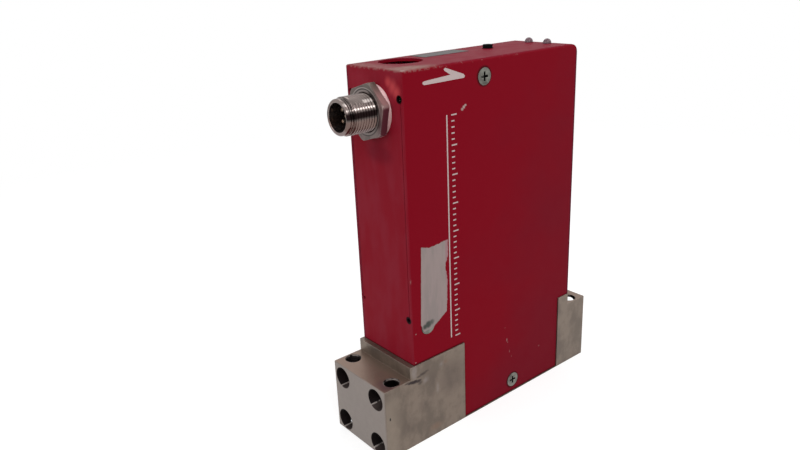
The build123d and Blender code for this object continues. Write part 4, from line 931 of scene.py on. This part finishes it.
SCALE_START = 35.3
SCALE_END = 112.9
SCALE_PITCH = 1.94
SCALE_LONG_EVERY = 5
SCALE_FOOT = -19.7
SHORT_TICK = 1.3
LONG_TICK = 2.3
HALF_TICK = 0.22            # half a tick's thickness
bar("print_rule", -21.85, -21.35, SCALE_START, 113.2)
for i in range(int((SCALE_END - SCALE_START) / SCALE_PITCH) + 1):
    reach = LONG_TICK if i % SCALE_LONG_EVERY == 0 else SHORT_TICK
    height = SCALE_START + i * SCALE_PITCH
    bar(f"print_tick_{i:02d}", SCALE_FOOT, SCALE_FOOT + reach, height - HALF_TICK, height + HALF_TICK)


# ======== floor, world and lamps ========
FLOOR_RADIUS = 4.0
FADE_START = 0.16
FADE_END = 0.50
FLOOR_GLOW = 0.62
FLOOR_TONE = 0.5
AMBIENT = 0.55
LAMP_TARGET = (0.0, 0.0, 0.065)


def seen_directly(tree):
    """1 for camera, glossy and transmission rays, 0 for the rest."""
    path = tree.nodes.new("ShaderNodeLightPath")
    total = path.outputs["Is Camera Ray"]
    for other in ("Is Glossy Ray", "Is Transmission Ray"):
        add = tree.nodes.new("ShaderNodeMath")
        add.operation = "MAXIMUM"
        tree.links.new(total, add.inputs[0])
        tree.links.new(path.outputs[other], add.inputs[1])
        total = add.outputs[0]
    return total


def floor():
    """A round pale floor that keeps the shadow near the object and fades to the white backdrop."""
    steps = 96
    turns = [2 * math.pi * i / steps for i in range(steps)]
    ring = [(FLOOR_RADIUS * math.cos(turn), FLOOR_RADIUS * math.sin(turn), 0.0) for turn in turns]
    mesh = bpy.data.meshes.new("floor")
    mesh.from_pydata(ring, [], [tuple(range(steps))])
    piece = bpy.data.objects.new("floor", mesh)
    bpy.context.collection.objects.link(piece)
    piece.location = (0, 0, block_low[2])
    material = bpy.data.materials.new("pale_floor")
    material.use_nodes = True
    tree = material.node_tree
    tree.nodes.clear()
    output = tree.nodes.new("ShaderNodeOutputMaterial")
    matte = tree.nodes.new("ShaderNodeBsdfDiffuse")
    matte.inputs["Color"].default_value = (FLOOR_TONE, FLOOR_TONE, FLOOR_TONE, 1)
    glow = tree.nodes.new("ShaderNodeEmission")
    add = tree.nodes.new("ShaderNodeAddShader")
    backdrop = tree.nodes.new("ShaderNodeEmission")
    fade = tree.nodes.new("ShaderNodeMixShader")
    path = seen_directly(tree)
    strength = tree.nodes.new("ShaderNodeMath")
    strength.operation = "MULTIPLY"
    strength.inputs[1].default_value = FLOOR_GLOW
    tree.links.new(path, strength.inputs[0])
    tree.links.new(strength.outputs[0], glow.inputs["Strength"])
    coordinates = tree.nodes.new("ShaderNodeTexCoord")
    distance = tree.nodes.new("ShaderNodeVectorMath")
    distance.operation = "LENGTH"
    tree.links.new(coordinates.outputs["Object"], distance.inputs[0])
    ranged = tree.nodes.new("ShaderNodeMapRange")
    ranged.interpolation_type = "SMOOTHSTEP"
    ranged.inputs["From Min"].default_value = FADE_START
    ranged.inputs["From Max"].default_value = FADE_END
    tree.links.new(distance.outputs["Value"], ranged.inputs["Value"])
    far = tree.nodes.new("ShaderNodeMath")
    far.operation = "MULTIPLY"
    tree.links.new(ranged.outputs["Result"], far.inputs[0])
    tree.links.new(path, far.inputs[1])
    tree.links.new(matte.outputs[0], add.inputs[0])
    tree.links.new(glow.outputs[0], add.inputs[1])
    tree.links.new(far.outputs[0], fade.inputs[0])
    tree.links.new(add.outputs[0], fade.inputs[1])
    tree.links.new(backdrop.outputs[0], fade.inputs[2])
    tree.links.new(fade.outputs[0], output.inputs["Surface"])
    mesh.materials.append(material)


def backdrop_world():
    """White where it is seen, and a softer even light on everything else."""
    world = bpy.data.worlds.new("backdrop")
    world.use_nodes = True
    bpy.context.scene.world = world
    tree = world.node_tree
    background = tree.nodes["Background"]
    background.inputs["Color"].default_value = (1, 1, 1, 1)
    strength = tree.nodes.new("ShaderNodeMath")
    strength.operation = "MULTIPLY_ADD"
    strength.inputs[1].default_value = 1 - AMBIENT
    strength.inputs[2].default_value = AMBIENT
    tree.links.new(seen_directly(tree), strength.inputs[0])
    tree.links.new(strength.outputs[0], background.inputs["Strength"])


def lamp(name, place, size, level):
    """Square soft lamp aimed at the object, bright enough to add level to a white surface facing it."""
    target = Vector(LAMP_TARGET)
    data = bpy.data.lights.new(name, "AREA")
    data.size = size
    place = Vector(place)
    data.energy = level * (math.pi * (place - target).length) ** 2
    piece = bpy.data.objects.new(name, data)
    bpy.context.collection.objects.link(piece)
    piece.location = place
    piece.rotation_euler = (target - place).to_track_quat("-Z", "Y").to_euler()


floor()
backdrop_world()
lamp("key_lamp", (-0.60, -1.00, 0.85), 0.9, 0.40)
lamp("fill_lamp", (-1.15, 0.15, 0.60), 0.8, 0.22)
lamp("top_lamp", (0.75, -0.43, 1.05), 0.5, 0.22)
lamp("back_lamp", (0.30, 0.75, 1.35), 0.7, 0.12)
